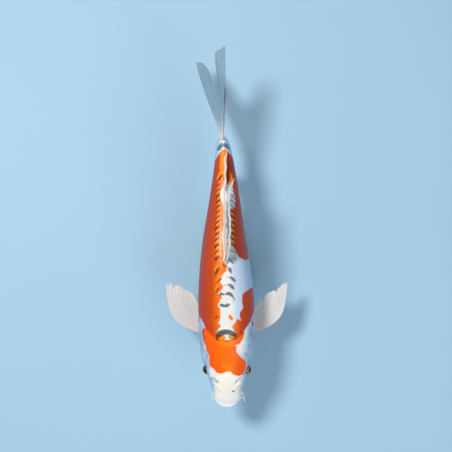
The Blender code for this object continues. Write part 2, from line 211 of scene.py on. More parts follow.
def make_floor():
    bm = bmesh.new()
    bmesh.ops.create_grid(bm, x_segments=1, y_segments=1, size=6.0)
    made = linked("floor", mesh_of(bm, "floor"))
    f = Finish("pale_floor", Roughness=0.85)
    tone = f.blend(f.noise(3.0, 2.0), (0.345, 0.545, 0.700), (0.375, 0.575, 0.730))
    made.data.materials.append(f.fill(Base_Color=tone))
    print("floor:", made.dimensions.x, "m wide")


make_floor()

# %% [markdown]
# ## The body's form
#
# The body is described by stations: at each distance behind the lips, how wide it is, how far the back rises
# and the belly drops, and where the spine lies. They are the same values that the solids were made from, so
# the skin lands where the solids are. A smooth curve runs through each column, and all points are worked out
# at once with numpy, because the skin has tens of thousands of them.

# %% Stations
MM = 0.001
LIP_REACH = 0.003  # the upper lip reaches this far ahead of the line of the lips
SNOUT_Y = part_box("head")[0].y + LIP_REACH
BODY_LENGTH = 0.378  # lips to the root of the tail fin
NOSE_ROUND = 0.018
STEM_ROUND = 0.018
STEM_END_SHARE = 0.42
SECTION_POWER = 2.15

# distance behind the lips, half width, rise of the back, drop of the belly, level of the widest part over
# the axis, sideways place of the spine
STATIONS = np.array(
    (
        (-0.003, 0.0170, 0.0080, 0.0095, -0.0105, 0.0016),  # lips
        (0.009, 0.0194, 0.0140, 0.0125, -0.0095, 0.0016),  # mouth
        (0.023, 0.0220, 0.0220, 0.0180, -0.0075, 0.0017),  # nostrils
        (0.037, 0.0262, 0.0285, 0.0235, -0.0052, 0.0018),  # cheek
        (0.052, 0.0302, 0.0340, 0.0290, -0.0035, 0.0014),  # eyes
        (0.066, 0.0347, 0.0388, 0.0340, -0.0020, 0.0011),  # temples
        (0.092, 0.0388, 0.0460, 0.0415, -0.0005, 0.0011),  # edge of the gill covers
        (0.120, 0.0395, 0.0520, 0.0475, 0.0000, 0.0006),  # shoulder
        (0.155, 0.0386, 0.0560, 0.0515, 0.0010, -0.0002),  # back
        (0.190, 0.0358, 0.0570, 0.0520, 0.0010, -0.0011),  # front of the dorsal fin
        (0.231, 0.0300, 0.0510, 0.0475, 0.0005, -0.0026),  # side of the vent
        (0.286, 0.0218, 0.0370, 0.0360, 0.0000, -0.0018),  # end of the dorsal fin
        (0.330, 0.0150, 0.0275, 0.0265, 0.0000, -0.0022),  # stem
        (0.354, 0.0113, 0.0240, 0.0235, 0.0000, -0.0034),  # low stem
        (0.378, 0.0062, 0.0235, 0.0235, 0.0000, -0.0052),  # root of the tail fin
    )
)


def smooth_through(places, values, at):
    """A smooth curve through rising places, held at its end values outside them. values may be points."""
    places, values, at = np.asarray(places, float), np.asarray(values, float), np.asarray(at, float)
    at = np.clip(at, places[0], places[-1])
    last = len(places) - 1
    k = np.clip(np.searchsorted(places, at) - 1, 0, last - 1)
    shape = at.shape + (1,) * (values.ndim - 1)

    def slope(i):
        low, high = np.maximum(i - 1, 0), np.minimum(i + 1, last)
        return (values[high] - values[low]) / (places[high] - places[low]).reshape(shape)

    span = (places[k + 1] - places[k]).reshape(shape)
    t = (at - places[k]).reshape(shape) / span
    rise = values[k + 1] - values[k]
    a = slope(k) * span - rise
    b = rise - slope(k + 1) * span
    return values[k] + t * rise + t * (1 - t) * ((1 - t) * a + t * b)


def body_size(along, column):
    return smooth_through(STATIONS[:, 0], STATIONS[:, column], along)


# %% Points of the body's surface
def body_point(along, turn, grow=0.0):
    """Points of the body's surface, offset outwards by grow. turn is 0 on the back, a quarter turn on the
    left side, and half a turn on the belly."""
    inside = np.clip(along, -LIP_REACH, BODY_LENGTH)
    short = 1 - np.clip((inside + LIP_REACH) / NOSE_ROUND, 0, 1)
    nose = np.sqrt(np.maximum(1 - short * short, 0))
    past = np.clip((inside - (BODY_LENGTH - STEM_ROUND)) / STEM_ROUND, 0, 1)
    stem = 1 - (1 - STEM_END_SHARE) * past**2
    width, back, belly, level, spine = (body_size(inside, column) for column in range(1, 6))
    shape = 2 / SECTION_POWER
    across = np.copysign(np.abs(np.sin(turn)) ** shape, np.sin(turn))
    up = np.copysign(np.abs(np.cos(turn)) ** shape, np.cos(turn))
    x = spine + (width * nose * stem + grow) * across
    z = AXIS_Z + level + np.where(up > 0, back * nose + grow, belly * nose + grow) * up
    return np.stack([x, SNOUT_Y + along, z], axis=-1)


def girth(behind):
    """Mean radius of the body in millimetres, so that degrees round it can be turned into millimetres."""
    along = np.asarray(behind, float) * MM
    inside = np.clip(along + LIP_REACH, 0.0004, NOSE_ROUND) / NOSE_ROUND
    nose = np.sqrt(1 - (1 - inside) ** 2)
    width, back, belly = (body_size(along, column) for column in (1, 2, 3))
    return nose * (width + (back + belly) / 2) / 2 / MM


print("body at the shoulder:", np.round(body_point(np.array([0.12]), np.array([math.pi / 2]))[0], 4))

# %% [markdown]
# ## Where the markings lie
#
# A koi's colours are patches with crisp edges, so each patch is an outline on a chart of the skin: how many
# millimetres behind the lips, and how many degrees round the body from the middle of the back (left side
# positive). For every point of the skin we work out how far it lies inside the nearest outline. The material
# turns that distance into an edge as sharp as we like, with none of the steps that painted vertices show.

# %% Outlines of the orange patches
HEAD_CAP = (
    (108, -57), (101, -57.5), (94, -54.5), (86, -47.5), (79, -46.3), (73, -40.5), (65, -43), (59, -45),
    (56, -37), (53, -31), (50, -26), (49, -16), (50, -8), (52, -1), (52, 7), (49, 14), (47, 20),
    (45.2, 34), (47.2, 47), (52, 54), (59, 52), (65, 47), (71, 34), (75, 25), (80, 19), (86, 19), (89, 16),
    (91, 24), (96, 31), (102, 35), (110, 38), (116, 48), (116, 30), (106, 16), (104, 0), (104, -18),
    (112, -42),
)
RIGHT_BAND = (
    (100, -16), (104, -20), (109, -17), (112, -14), (116, -10), (120, -15), (125, -11), (139, -11),
    (143, -15), (148, -12), (152, -10), (155, -6), (159, -14), (162, -10), (166, -6), (170, -5),
    (175, -10), (178, -7), (182, -7), (186, -3), (189, 1), (193, 3), (197, 5), (201, -1), (206, -3),
    (209, -1.8), (221, -2.0), (231, -4.0), (241, -4.2), (248, -2.2), (262, -2.8), (277, -3.6), (285, -11),
    (292, -16), (300, -11), (307, -3.5), (318, -4), (326, 0), (340, 9), (353, 18), (354.5, 2), (352, -14),
    (344, -48), (337, -86), (331, -102), (321, -103), (310, -113), (297, -121), (284, -117), (272, -105),
    (255, -101), (238, -109), (224, -122), (209, -123), (196, -112), (183, -101), (167, -103), (156, -114),
    (146, -108), (139, -97), (124, -88), (117, -84), (117, -77), (124, -70), (122, -62), (115, -50),
    (111, -43),
)
LEFT_REAR = (
    (354, 2), (351, 28), (346, 62), (341, 88), (333, 101), (322, 104), (312, 98), (299, 104), (288, 118),
    (275, 123), (262, 114), (250, 111), (238, 119), (228, 117), (222, 105), (212, 101), (206, 84),
    (204, 64), (203, 55), (205, 47), (207, 36), (211, 31), (217, 26), (224, 16), (229, 13), (238, 14),
    (253, 17), (262, 18), (270, 12), (280, 14), (290, 16), (302, 14), (309, 2), (318, -8), (340, -8),
)
LEFT_SHOULDER = (
    (100, 16), (105, 17), (111, 12), (115, 10), (121, 17), (125, 22), (122, 29), (129, 26), (134, 27),
    (140, 34), (148, 33), (156, 34), (160, 40), (163, 53), (166, 68), (163, 80), (166, 90), (160, 101),
    (149, 104), (142, 114), (134, 112), (130, 98), (133, 86), (127, 68), (122, 61), (116, 50), (108, 36),
)
ISLAND = ((130, 4), (131, 6), (129.5, 9), (126.5, 11.5), (124, 10.5), (123.5, 8), (126, 5), (128, 3.5))
THROAT_SPOT = ((113, 63), (117, 60), (121, 64), (118, 69), (114, 68))
ORANGE_PATCHES = (HEAD_CAP, RIGHT_BAND, LEFT_REAR, LEFT_SHOULDER, ISLAND, THROAT_SPOT)

# white skin inside those patches: under the nape, and by the end of the dorsal fin
WHITE_GAPS = (
    (
        (102.5, -4), (104.5, -1), (104, 3.5), (101.5, 2.5), (98.5, 4), (96.5, 6), (96, -1.5), (97, -4),
        (99.5, -1.5),
    ),
    (
        (275, 14), (274, 24), (276, 38), (280, 35), (283, 42), (287, 38), (290, 43), (294, 37), (298, 36),
        (304, 26), (308, 14), (292, 10),
    ),
)

# %% [markdown]
# The dark marks are strokes: a line on the chart with a half width at each of its points. Those on white skin
# look blue-grey, those on orange skin brown. The edge of the head is a line across the chart too: ahead of it
# the orange is brighter, because the skin lies thin on bone there.

# %% Dark strokes and the edge of the head
# each point: millimetres behind the lips, degrees round, half width in millimetres
DARK_STROKES = (
    (
        (101.2, -18, 2.8), (104.2, -14, 4.4), (106.6, -8, 4.0), (107.6, -2, 3.8), (107.4, 4, 3.6),
        (105.8, 10, 3.9), (103, 16, 3.0),
    ),
    (
        (99, -20.4, 0.9), (97.4, -18, 1.7), (95.8, -13, 0.4), (95.7, -8, 0.2), (95.3, -4, 0.8),
        (95.2, 0, 0.8), (95.7, 6, 0.5),
    ),
    ((96.6, 9, 0.2), (98, 12, 1.2), (99, 16, 1.8), (100.6, 20, 1.0)),  # the two ends under the nape
    (  # on the back
        (144.2, -11.5, 0.7), (144, -7.6, 2.4), (142.8, -2.5, 1.9), (143.8, 2.2, 2.5), (145.2, 6, 0.9),
    ),
    (
        (157.5, -11.5, 1.4), (159, -7.6, 2.0), (158.6, -3, 1.1), (158.6, 0, 0.9), (159.6, 4, 2.4),
        (158.2, 9, 2.6), (154.6, 13.5, 1.3), (150, 16, 0.5),
    ),
    ((170.5, -6, 0.4), (171, 2, 0.5), (171, 7, 1.7), (168.5, 12, 2.6), (165.5, 16, 1.2)),
    ((182.5, 3, 0.5), (180, 3, 0.6)),
    ((182, 7, 0.8), (180.5, 11, 1.9), (178, 16, 2.3), (175.5, 20, 1.0)),
    ((192.5, 8, 2.4), (190.5, 9.8, 2.8), (187, 12.5, 0.8)),
    ((206, 9, 1.2), (203, 13.5, 2.4), (200, 18, 1.4)),
    ((217, 14, 0.7), (213.5, 19, 1.3), (209, 25, 0.9)),
    ((198, -1.5, 1.6), (195, -1, 1.2)),  # foot of the dorsal fin
    ((193.5, -11, 1.2), (191.5, -14.5, 2.3), (187, -18.5, 2.2), (183, -21, 0.8)),  # marks on the orange
    ((179, -9, 1.0), (177.5, -12, 1.3), (174, -16, 0.8)),
    ((168, -12, 0.6), (165, -15, 1.4), (161, -18, 0.8)),
    ((128, -18, 1.8), (127, -19, 1.9)),
    ((106, 26, 1.0), (107, 28, 1.2)),
    ((354.5, -48, 2.2), (357, -30, 3.7), (360, -10, 3.0)),  # root of the tail fin
    ((360, 8, 2.9), (359, 24, 3.7), (356.5, 44, 2.2)),
    ((23, 18, 1.3), (23.4, 21, 1.2)),  # speck on the snout
)
# painted light on the folds of the stem, beside the marks on the orange, at the nape and by the gill covers:
# how much of gold highlight, or of deep red painted shade where less than 0, and the stroke
PAINTED_LIGHT_STROKES = (
    (0.7, ((353, 3, 2.6), (345, -8, 4.0), (337, -13, 4.4), (329, -15, 3.6))),
    (1.0, ((314, -34, 1.0), (320, -23, 1.7), (325, -8, 1.6))),
    (-0.8, ((312, -24, 1.2), (317.5, -14, 1.3))),
    (-1.0, ((345, 27, 1.4), (332, 20, 2.2), (320, 14.5, 2.0), (307, 14, 1.6))),
    (1.0, ((320.5, 28, 0.9), (315, 33, 1.7), (308, 24, 1.5))),
    (-0.5, ((340, 50, 3.0), (327, 44, 3.0))),
    (1.0, ((197, -11, 0.9), (195.5, -16, 1.2), (190.5, -21.5, 1.0))),
    (0.9, ((182, -8, 0.8), (180.5, -13.5, 0.9), (177, -17, 0.6))),
    (0.9, ((171, -12, 0.7), (168.5, -17, 0.8), (165, -20, 0.5))),
    (0.9, ((101, -12, 1.8), (100, -8, 2.0), (101.5, -5, 1.2))),
    (0.9, ((102, 6, 1.4), (100.5, 11, 2.0), (99.5, 15, 1.4))),
    (-0.5, ((107.8, -53, 1.6), (101, -54.5, 1.8), (94, -52, 1.2))),
)
HEAD_EDGE = (
    (94, 0), (95, 10), (98, 20), (105, 34), (111, 44), (115, 50), (121, 62), (123, 76), (119, 92),
    (107, 110), (94, 130), (80, 154), (70, 180),
)

# %% Distances on the chart
FAR = 12.0  # distances are only needed this near to an edge, in millimetres


def soft_step(low, high, value):
    """0 below low, 1 above high, smooth between them."""
    t = np.clip((value - low) / (high - low), 0, 1)
    return t * t * (3 - 2 * t)


def hump(distance, width):
    return np.exp(-((distance / width) ** 2))


def flat(behind, round_):
    """Chart points as millimetres along and millimetres round."""
    behind, round_ = np.asarray(behind, float), np.asarray(round_, float)
    return np.stack([behind, np.radians(round_) * girth(behind)], axis=-1)


def rounded(corners, steps=4, closed=True):
    """A smooth curve through corners, with a few points to each stretch."""
    corners = np.array(corners, float)
    count = len(corners)
    if closed:
        at = np.arange(count * steps) / steps + 2
        held = np.concatenate([corners[-2:], corners, corners[:3]])
        return smooth_through(np.arange(len(held)), held, at)
    at = np.linspace(0, count - 1, (count - 1) * steps + 1)
    return smooth_through(np.arange(count), corners, at)


def to_stretch(points, start, end):
    """Distance from each point to a straight stretch, and the share of it at the nearest place."""
    way = end - start
    share = np.clip(((points - start) @ way) / max(way @ way, 1e-12), 0, 1)
    return np.linalg.norm(points - start - share[:, None] * way, axis=1), share


def gap_to_line(points, line):
    """Millimetres from flat chart points to a line drawn on the chart."""
    line = flat(*rounded(line, closed=False).T)
    return np.min([to_stretch(points, start, end)[0] for start, end in zip(line, line[1:])], axis=0)


def near_to(points, line):
    return np.all((points > line.min(0) - FAR) & (points < line.max(0) + FAR), axis=1)


def depth_inside(points, outline):
    """Millimetres inside a closed outline, negative outside."""
    line = flat(*rounded(outline).T)
    found = np.full(len(points), -FAR)
    near = near_to(points, line)
    p = points[near]
    gap = np.full(len(p), FAR)
    inside = np.zeros(len(p), bool)
    for start, end in zip(line, np.roll(line, -1, axis=0)):
        gap = np.minimum(gap, to_stretch(p, start, end)[0])
        straddles = (start[1] > p[:, 1]) != (end[1] > p[:, 1])
        if start[1] != end[1]:
            crossing = start[0] + (p[:, 1] - start[1]) * (end[0] - start[0]) / (end[1] - start[1])
            inside ^= straddles & (p[:, 0] < crossing)
    found[near] = np.where(inside, gap, -gap)
    return found


def depth_in_stroke(points, stroke):
    """Millimetres inside a stroke of changing width, negative outside."""
    behind, round_, halves = rounded(stroke, closed=False).T
    line = flat(behind, round_)
    found = np.full(len(points), -FAR)
    near = near_to(points, line)
    p = points[near]
    best = np.full(len(p), -FAR)
    for i in range(len(line) - 1):
        gap, share = to_stretch(p, line[i], line[i + 1])
        best = np.maximum(best, halves[i] + (halves[i + 1] - halves[i]) * share - gap)
    found[near] = best
    return found


def ahead_of_head_edge(behind, round_):
    """Millimetres ahead of the rear edge of the head and gill covers, negative behind it."""
    places, turns = np.array(HEAD_EDGE, float).T
    return smooth_through(turns, places, np.abs(round_)) - behind


# %% [markdown]
# Both the skin and the scales on it need the same markings, so one function fills in all the values that the
# materials read, from the place of each vertex on the chart. Soft tints are spots with a blurred edge: warm
# cream on the snout, painted shade in the nostril creases, and painted shade with a blue reflection on the
# cheeks and gill covers.

# %% Values that the materials read
# each spot: millimetres behind the lips, degrees round, radius in millimetres
# painted shade in the nostril creases, and painted shade with a blue reflection on the cheeks and gill covers
PAINTED_COOL_SHADE_SPOTS = (
    (76, 45.5, 3.4), (73, 49, 2.8), (74.5, -50, 3.2), (71, -49, 2.6), (86, 53, 3.6), (99, 54, 4.6),
    (104, 60, 6.0), (109, 52, 3.0), (90, -66, 4.6), (84, -62, 4.0), (101, -70, 6.0), (96, 72, 9.0),
    (60, -64, 5.0), (62, 66, 5.0), (41, -45, 2.0), (39.5, -41, 2.0), (38, -37, 2.0), (36.5, -33.5, 1.8),
    (35, -30, 1.5), (40, 42, 2.0), (38.5, 36, 1.9), (37, 30.5, 1.8), (35.5, 26, 1.5), (48, -50, 2.4),
    (48, 50, 2.4), (66, -46, 2.2), (67, 46, 2.2),
)
CREAM_SPOTS = (
    (31, -38, 3.2), (27, -27, 3.0), (31, 34, 3.2), (27, 27, 3.0), (34, 0, 14.0), (24, 0, 10.0),
    (83, 29, 6.0), (88, 24, 4.0), (92, 34, 4.0), (101, 35, 3.0), (85, -54, 2.6), (73, -58, 2.6),
    (104, 42, 2.0), (80, 44, 1.6), (111, -10, 2.4), (112.5, 0, 2.4), (111, 9, 2.4),
)
GOLD_SHARE = 0.50
GOLD_SPOTS = ((93, -10, 5.5), (92, 0, 5.5), (92, 8, 5.0), (60, -4, 5.5), (56, 8, 6.0))


def spots_at(points, spots):
    total = np.zeros(len(points))
    for behind, round_, radius in spots:
        gap = np.linalg.norm(points - flat(behind, round_), axis=1)
        total += np.exp(-((gap / radius) ** 2))
    return np.clip(total, 0, 1)


def chart_values(behind, round_):
    """Every value that the materials read, from places on the chart."""
    points = flat(behind, round_)
    orange = np.max([depth_inside(points, patch) for patch in ORANGE_PATCHES], axis=0)
    white = np.max([depth_inside(points, gap) for gap in WHITE_GAPS], axis=0)
    # painted highlights and painted shade along the strokes
    painted_light = (share * soft_step(-2.0, 0.6, depth_in_stroke(points, stroke)) for share, stroke in PAINTED_LIGHT_STROKES)
    return {
        "orange": np.minimum(orange, -white),
        "dark": np.max([depth_in_stroke(points, stroke) for stroke in DARK_STROKES], axis=0),
        "head": ahead_of_head_edge(behind, round_),
        "behind": behind,
        "flank": np.abs(round_) / 180,
        # spots of painted shade and painted blue reflection
        "cool": spots_at(points, PAINTED_COOL_SHADE_SPOTS),
        "cream": spots_at(points, CREAM_SPOTS),
        "gleam": GOLD_SHARE * spots_at(points, GOLD_SPOTS) + sum(painted_light),
    }


def store(mesh, values):
    """Keeps named numbers on a mesh, one for each vertex."""
    for name, numbers in values.items():
        layer = mesh.attributes.new(name, "FLOAT", "POINT")
        layer.data.foreach_set("value", np.asarray(numbers, np.float32))


# %% [markdown]
# ## The skin
#
# A ball has no seam to hide, so the skin starts as a fine UV sphere drawn out along the fish, with its poles
# at the snout and at the root of the tail fin. Its rings lie closest at the head, where the detail is. Then
# the features are pressed in and raised along the skin's own normals, as a sculptor would: the slit of the
# mouth between its lips, the nostrils, a lid round each eye, the edge of the gill covers and the lateral
# line.

# %% The ball, drawn out along the fish
SKIN_SIDES = 236
SKIN_RINGS = 410
SKIN_DEPTH = 0.0006  # how far the skin lies inside the solids, which leaves room for the scales
STEM_DRAWN_BACK = 0.008  # how far the flesh ends ahead of its furthest point, above and below the tail fin
STEM_SLIMMED = 0.30  # share by which the end of the stem thins into the fin
SLIM_LENGTH = 0.014


def object_of(mesh, name, finish, replaced=()):
    """A finished piece: linked into the scene with its finish, smooth shaded, riding on the body, and hiding
    the solids that it replaces.
    """
    made = linked(name, mesh)
    mesh.materials.append(finish)
    mesh.shade_smooth()
    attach(made, "root")
    if replaced:
        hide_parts(*replaced)
    print(f"{name}: {sum(len(face.vertices) - 2 for face in mesh.polygons)} triangles")
    return made


def points_of(mesh, items="vertices", field="co"):
    found = np.empty(len(mesh.vertices) * 3)
    getattr(mesh, items).foreach_get(field, found)
    return found.reshape(-1, 3)


def set_points(mesh, points):
    mesh.vertices.foreach_set("co", np.asarray(points, np.float32).ravel())
    mesh.update()


def ball_mesh(name, sides, rings):
    """A ball of radius 1 with its poles above and below."""
    bm = bmesh.new()
    bmesh.ops.create_uvsphere(bm, u_segments=sides, v_segments=rings, radius=1.0)
    bmesh.ops.recalc_face_normals(bm, faces=bm.faces)
    return mesh_of(bm, name)


def skin_ball():
    """The ball's mesh in place, with each vertex's distance behind the lips and turn round the body."""
    mesh = ball_mesh("koi_skin", SKIN_SIDES, SKIN_RINGS)
    x, y, z = points_of(mesh).T
    share = 1 - np.cos(np.arccos(np.clip(z, -1, 1)) / 2)
    along = (BODY_LENGTH + LIP_REACH) * share - LIP_REACH - SKIN_DEPTH * (2 * share - 1)
    turn = np.arctan2(x, y)
    along -= STEM_DRAWN_BACK * np.cos(turn) ** 4 * soft_step(0.90, 1.0, share)
    placed = body_point(along, turn, -SKIN_DEPTH)
    spine = body_size(along, 5)
    slim = 1 - STEM_SLIMMED * soft_step(BODY_LENGTH - SLIM_LENGTH, BODY_LENGTH, along)
    placed[:, 0] = spine + (placed[:, 0] - spine) * slim
    set_points(mesh, placed)
    return mesh, along, turn


# %% Mouth, nostrils, cheeks and gill covers
MOUTH_CORNER = 18.5  # millimetres behind the lips
LIP_FOLD = (
    (14, -104), (11, -76), (5.5, -50), (2.6, -25), (2, 0), (2.6, 25), (5.5, 50), (10, 80), (13.5, 106),
)
CHEEK = ((61, 52), (68, 66), (72, 84), (68, 104), (58, 124), (46, 140))
# each fold: its height, how far it lies beside its line, its width, and the line as it runs on the left side
HEAD_FOLDS = (
    (0.85, 0, 2.4, ((33, 41), (29, 31), (24, 22))),  # ridge beside the nostrils
    (-0.70, 0, 1.6, ((43, 50), (39, 40), (36, 31))),
    (-1.7, 0, 1.35, ((34.2, 29), (34.2, 29))),  # the two nostrils: a pit is a line with no length
    (-1.3, 0, 1.2, ((37.6, 32.5), (37.6, 32.5))),
    (0.25, 0, 1.1, ((35.0, 34.5), (36.6, 29))),  # the flap between them
    (-0.45, 0, 1.3, ((20, 62), (31, 66), (42, 60))),
    (-0.30, 0, 1.4, ((24, 104), (36, 112), (50, 116))),
    (0.30, 0, 2.4, ((40, 52), (46, 48), (54, 47), (62, 52))),  # brow
    (-0.65, 0, 1.0, CHEEK), (0.25, 3.0, 2.0, CHEEK),
    (-0.35, 0, 0.9, ((43, 66), (46, 84), (54, 96), (63, 92))),  # under the eye
    (-0.35, 0, 0.9, ((72, 104), (84, 112), (96, 112), (106, 102))),  # lower gill cover
    (-0.35, 0, 0.8, ((52, 152), (66, 158), (80, 160))),  # throat
    (-0.35, 0, 0.8, ((61, 152), (74, 154), (87, 160))),
    (-0.35, 0, 0.8, ((70, 152), (82, 150), (94, 160))),
)


def mouth_relief(behind, height):
    """The slit and the two rolls of the lips. height is over the body's axis, in millimetres."""
    over_slit = height + 9.4 + 0.27 * (behind + LIP_REACH / MM)
    open_ = 1 - soft_step(MOUTH_CORNER - 2.5, MOUTH_CORNER + 2.5, behind)
    slit = hump(over_slit, 0.55) * -1.9 * soft_step(-2.9, -1.6, behind)
    upper = hump(over_slit - 2.5, 1.9) * 0.75
    lower = hump(over_slit + 2.3, 1.7) * 0.7
    chin = hump(over_slit + 5.4, 0.8) * -0.5
    return open_ * (slit + upper + lower + chin)


def head_relief(points, behind, round_):
    """Folds and pits of the head, the gill cover's free rear edge, and the fine rays on the cover."""
    ahead = ahead_of_head_edge(behind, round_)
    beside = soft_step(24, 44, np.abs(round_))
    lifted = 0.35 * np.exp(-np.maximum(ahead, 0) / 14) * (ahead >= 0)
    sunk = -1.5 * np.exp(-np.maximum(-ahead, 0) / 5.5) * (ahead < 0)
    relief = beside * (lifted + sunk) - 0.35 * (1 - beside) * hump(ahead, 2.2)
    relief -= 0.75 * hump(gap_to_line(points, LIP_FOLD), 0.75)
    for side in (-1, 1):
        for height, off, width, line in HEAD_FOLDS:
            mirrored = [(place, side * turn) for place, turn in line]
            relief += height * hump(gap_to_line(points, mirrored) - off, width)
        spread = points - flat(74, side * 70)
        ray = np.arctan2(spread[:, 1] * side, spread[:, 0])
        reach = np.linalg.norm(spread, axis=1)
        fan = soft_step(5, 14, reach) * (1 - soft_step(34, 44, reach)) * soft_step(0, 3, ahead)
        fan *= (np.abs(round_) > 48) & (np.sign(round_) == side) & (np.abs(round_) < 112)
        relief += 0.05 * np.sin(ray * 46) * fan
    return relief


# %% Lateral line and trunk
LATERAL_TURN = 88  # degrees round the body
PORE_STEP, MUSCLE_STEP = 4.6, 9.4  # millimetres from one to the next
BENDS = ((318, 0.30), (326, 0.36), (334, 0.26))  # folds of the stem: millimetres behind the lips, and height


def trunk_relief(behind, round_):
    """The lateral line with its pores, faint muscle blocks, and folds where the stem bends."""
    past_head = soft_step(4, 14, -ahead_of_head_edge(behind, round_))
    aside = np.abs(round_)
    from_line = np.radians(aside - LATERAL_TURN) * girth(behind)
    pores = 0.5 + 0.5 * np.cos(behind * 2 * math.pi / PORE_STEP)
    relief = -(0.16 + 0.16 * pores) * hump(from_line, 0.8) * past_head * (1 - soft_step(362, 372, behind))
    slant = np.abs(aside % LATERAL_TURN - LATERAL_TURN / 2) * 0.42
    muscle = np.cos((behind - slant) * 2 * math.pi / MUSCLE_STEP)
    relief += 0.045 * muscle * past_head * soft_step(120, 150, behind) * (1 - soft_step(345, 362, behind))
    for start, height in BENDS:
        relief += height * hump(behind - (start - aside * 0.16), 1.8) * (1 - soft_step(50, 80, aside))
    return relief


# %% Eye sockets
EYE_OPENING = 6.8  # millimetres from the middle of the socket to the edge of the lids
LID_CREST = 7.5
EYE_INSET = 0.35  # millimetres that an eyeball is smaller than its solid
# the way each socket faces: the head is rolled a little, so the left one opens further up
SOCKET_WAYS = {"eye_left": (0.93, -0.15, 0.36), "eye_right": (-0.98, -0.14, 0.03)}


def eye_place(name):
    low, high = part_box(name)
    return np.array((low + high) / 2), (high - low).x / 2


def seat_eyes(points):
    """Opens the skin over each eyeball and draws a soft lid up round it."""
    points = points.copy()
    for name, opening in SOCKET_WAYS.items():
        centre, radius = eye_place(name)
        way = np.array(opening) / np.linalg.norm(opening)
        ball = radius / MM - EYE_INSET
        from_centre = (points - centre) / MM
        out = from_centre @ way
        flat_part = from_centre - out[:, None] * way
        aside = np.linalg.norm(flat_part, axis=1)
        near = (out > -5) & (aside < 17)
        past = aside - EYE_OPENING
        pulled = EYE_OPENING + np.sign(past) * np.maximum(np.abs(past) - 0.42, 0.02)
        pulled = np.where(np.abs(past) < 1.0, pulled, aside)
        crest = math.sqrt(ball**2 - LID_CREST**2) + 0.85
        lid = crest - 0.50 * np.maximum(pulled - LID_CREST, 0) - 0.35 * np.maximum(LID_CREST - pulled, 0)
        melt = soft_step(0.0, 1.6, lid - out) * (lid - out)
        outside = np.where(pulled > LID_CREST, out + np.maximum(melt, 0), np.maximum(lid, out))
        outside -= 0.30 * hump(pulled - 10.0, 1.1)
        inside = np.minimum(out, np.sqrt(np.maximum(ball**2 - pulled**2, 0)) - 0.9)
        new_out = np.where(pulled < EYE_OPENING, inside, outside)
        new = centre + (flat_part * (pulled / np.maximum(aside, 1e-6))[:, None] + new_out[:, None] * way) * MM
        points[near] = new[near]
    return points


# %% [markdown]
# ## The finish of the skin
#
# A koi's colour lies deep in a clear wet skin. The white is never pure: it is warm on the snout, and the blue
# down its sides is a painted reflection of blue surroundings. The orange is mottled and brighter on the head.
# Along the top of the back it is painted lighter and yellower as a highlight, and down the flanks it is
# redder and darker, partly its own deeper red and partly painted shade. The patches' edges take a little
# noise so that they look grown and not drawn. A thin coat over the colour gives the wet shine.


# %% Colours shared by skin and scales
def edge_of(f, value, wobble, soft):
    """Turns a distance in millimetres into a crisp edge that wanders by the wobble."""
    return f.between(f.plus(value, wobble), -soft, soft)


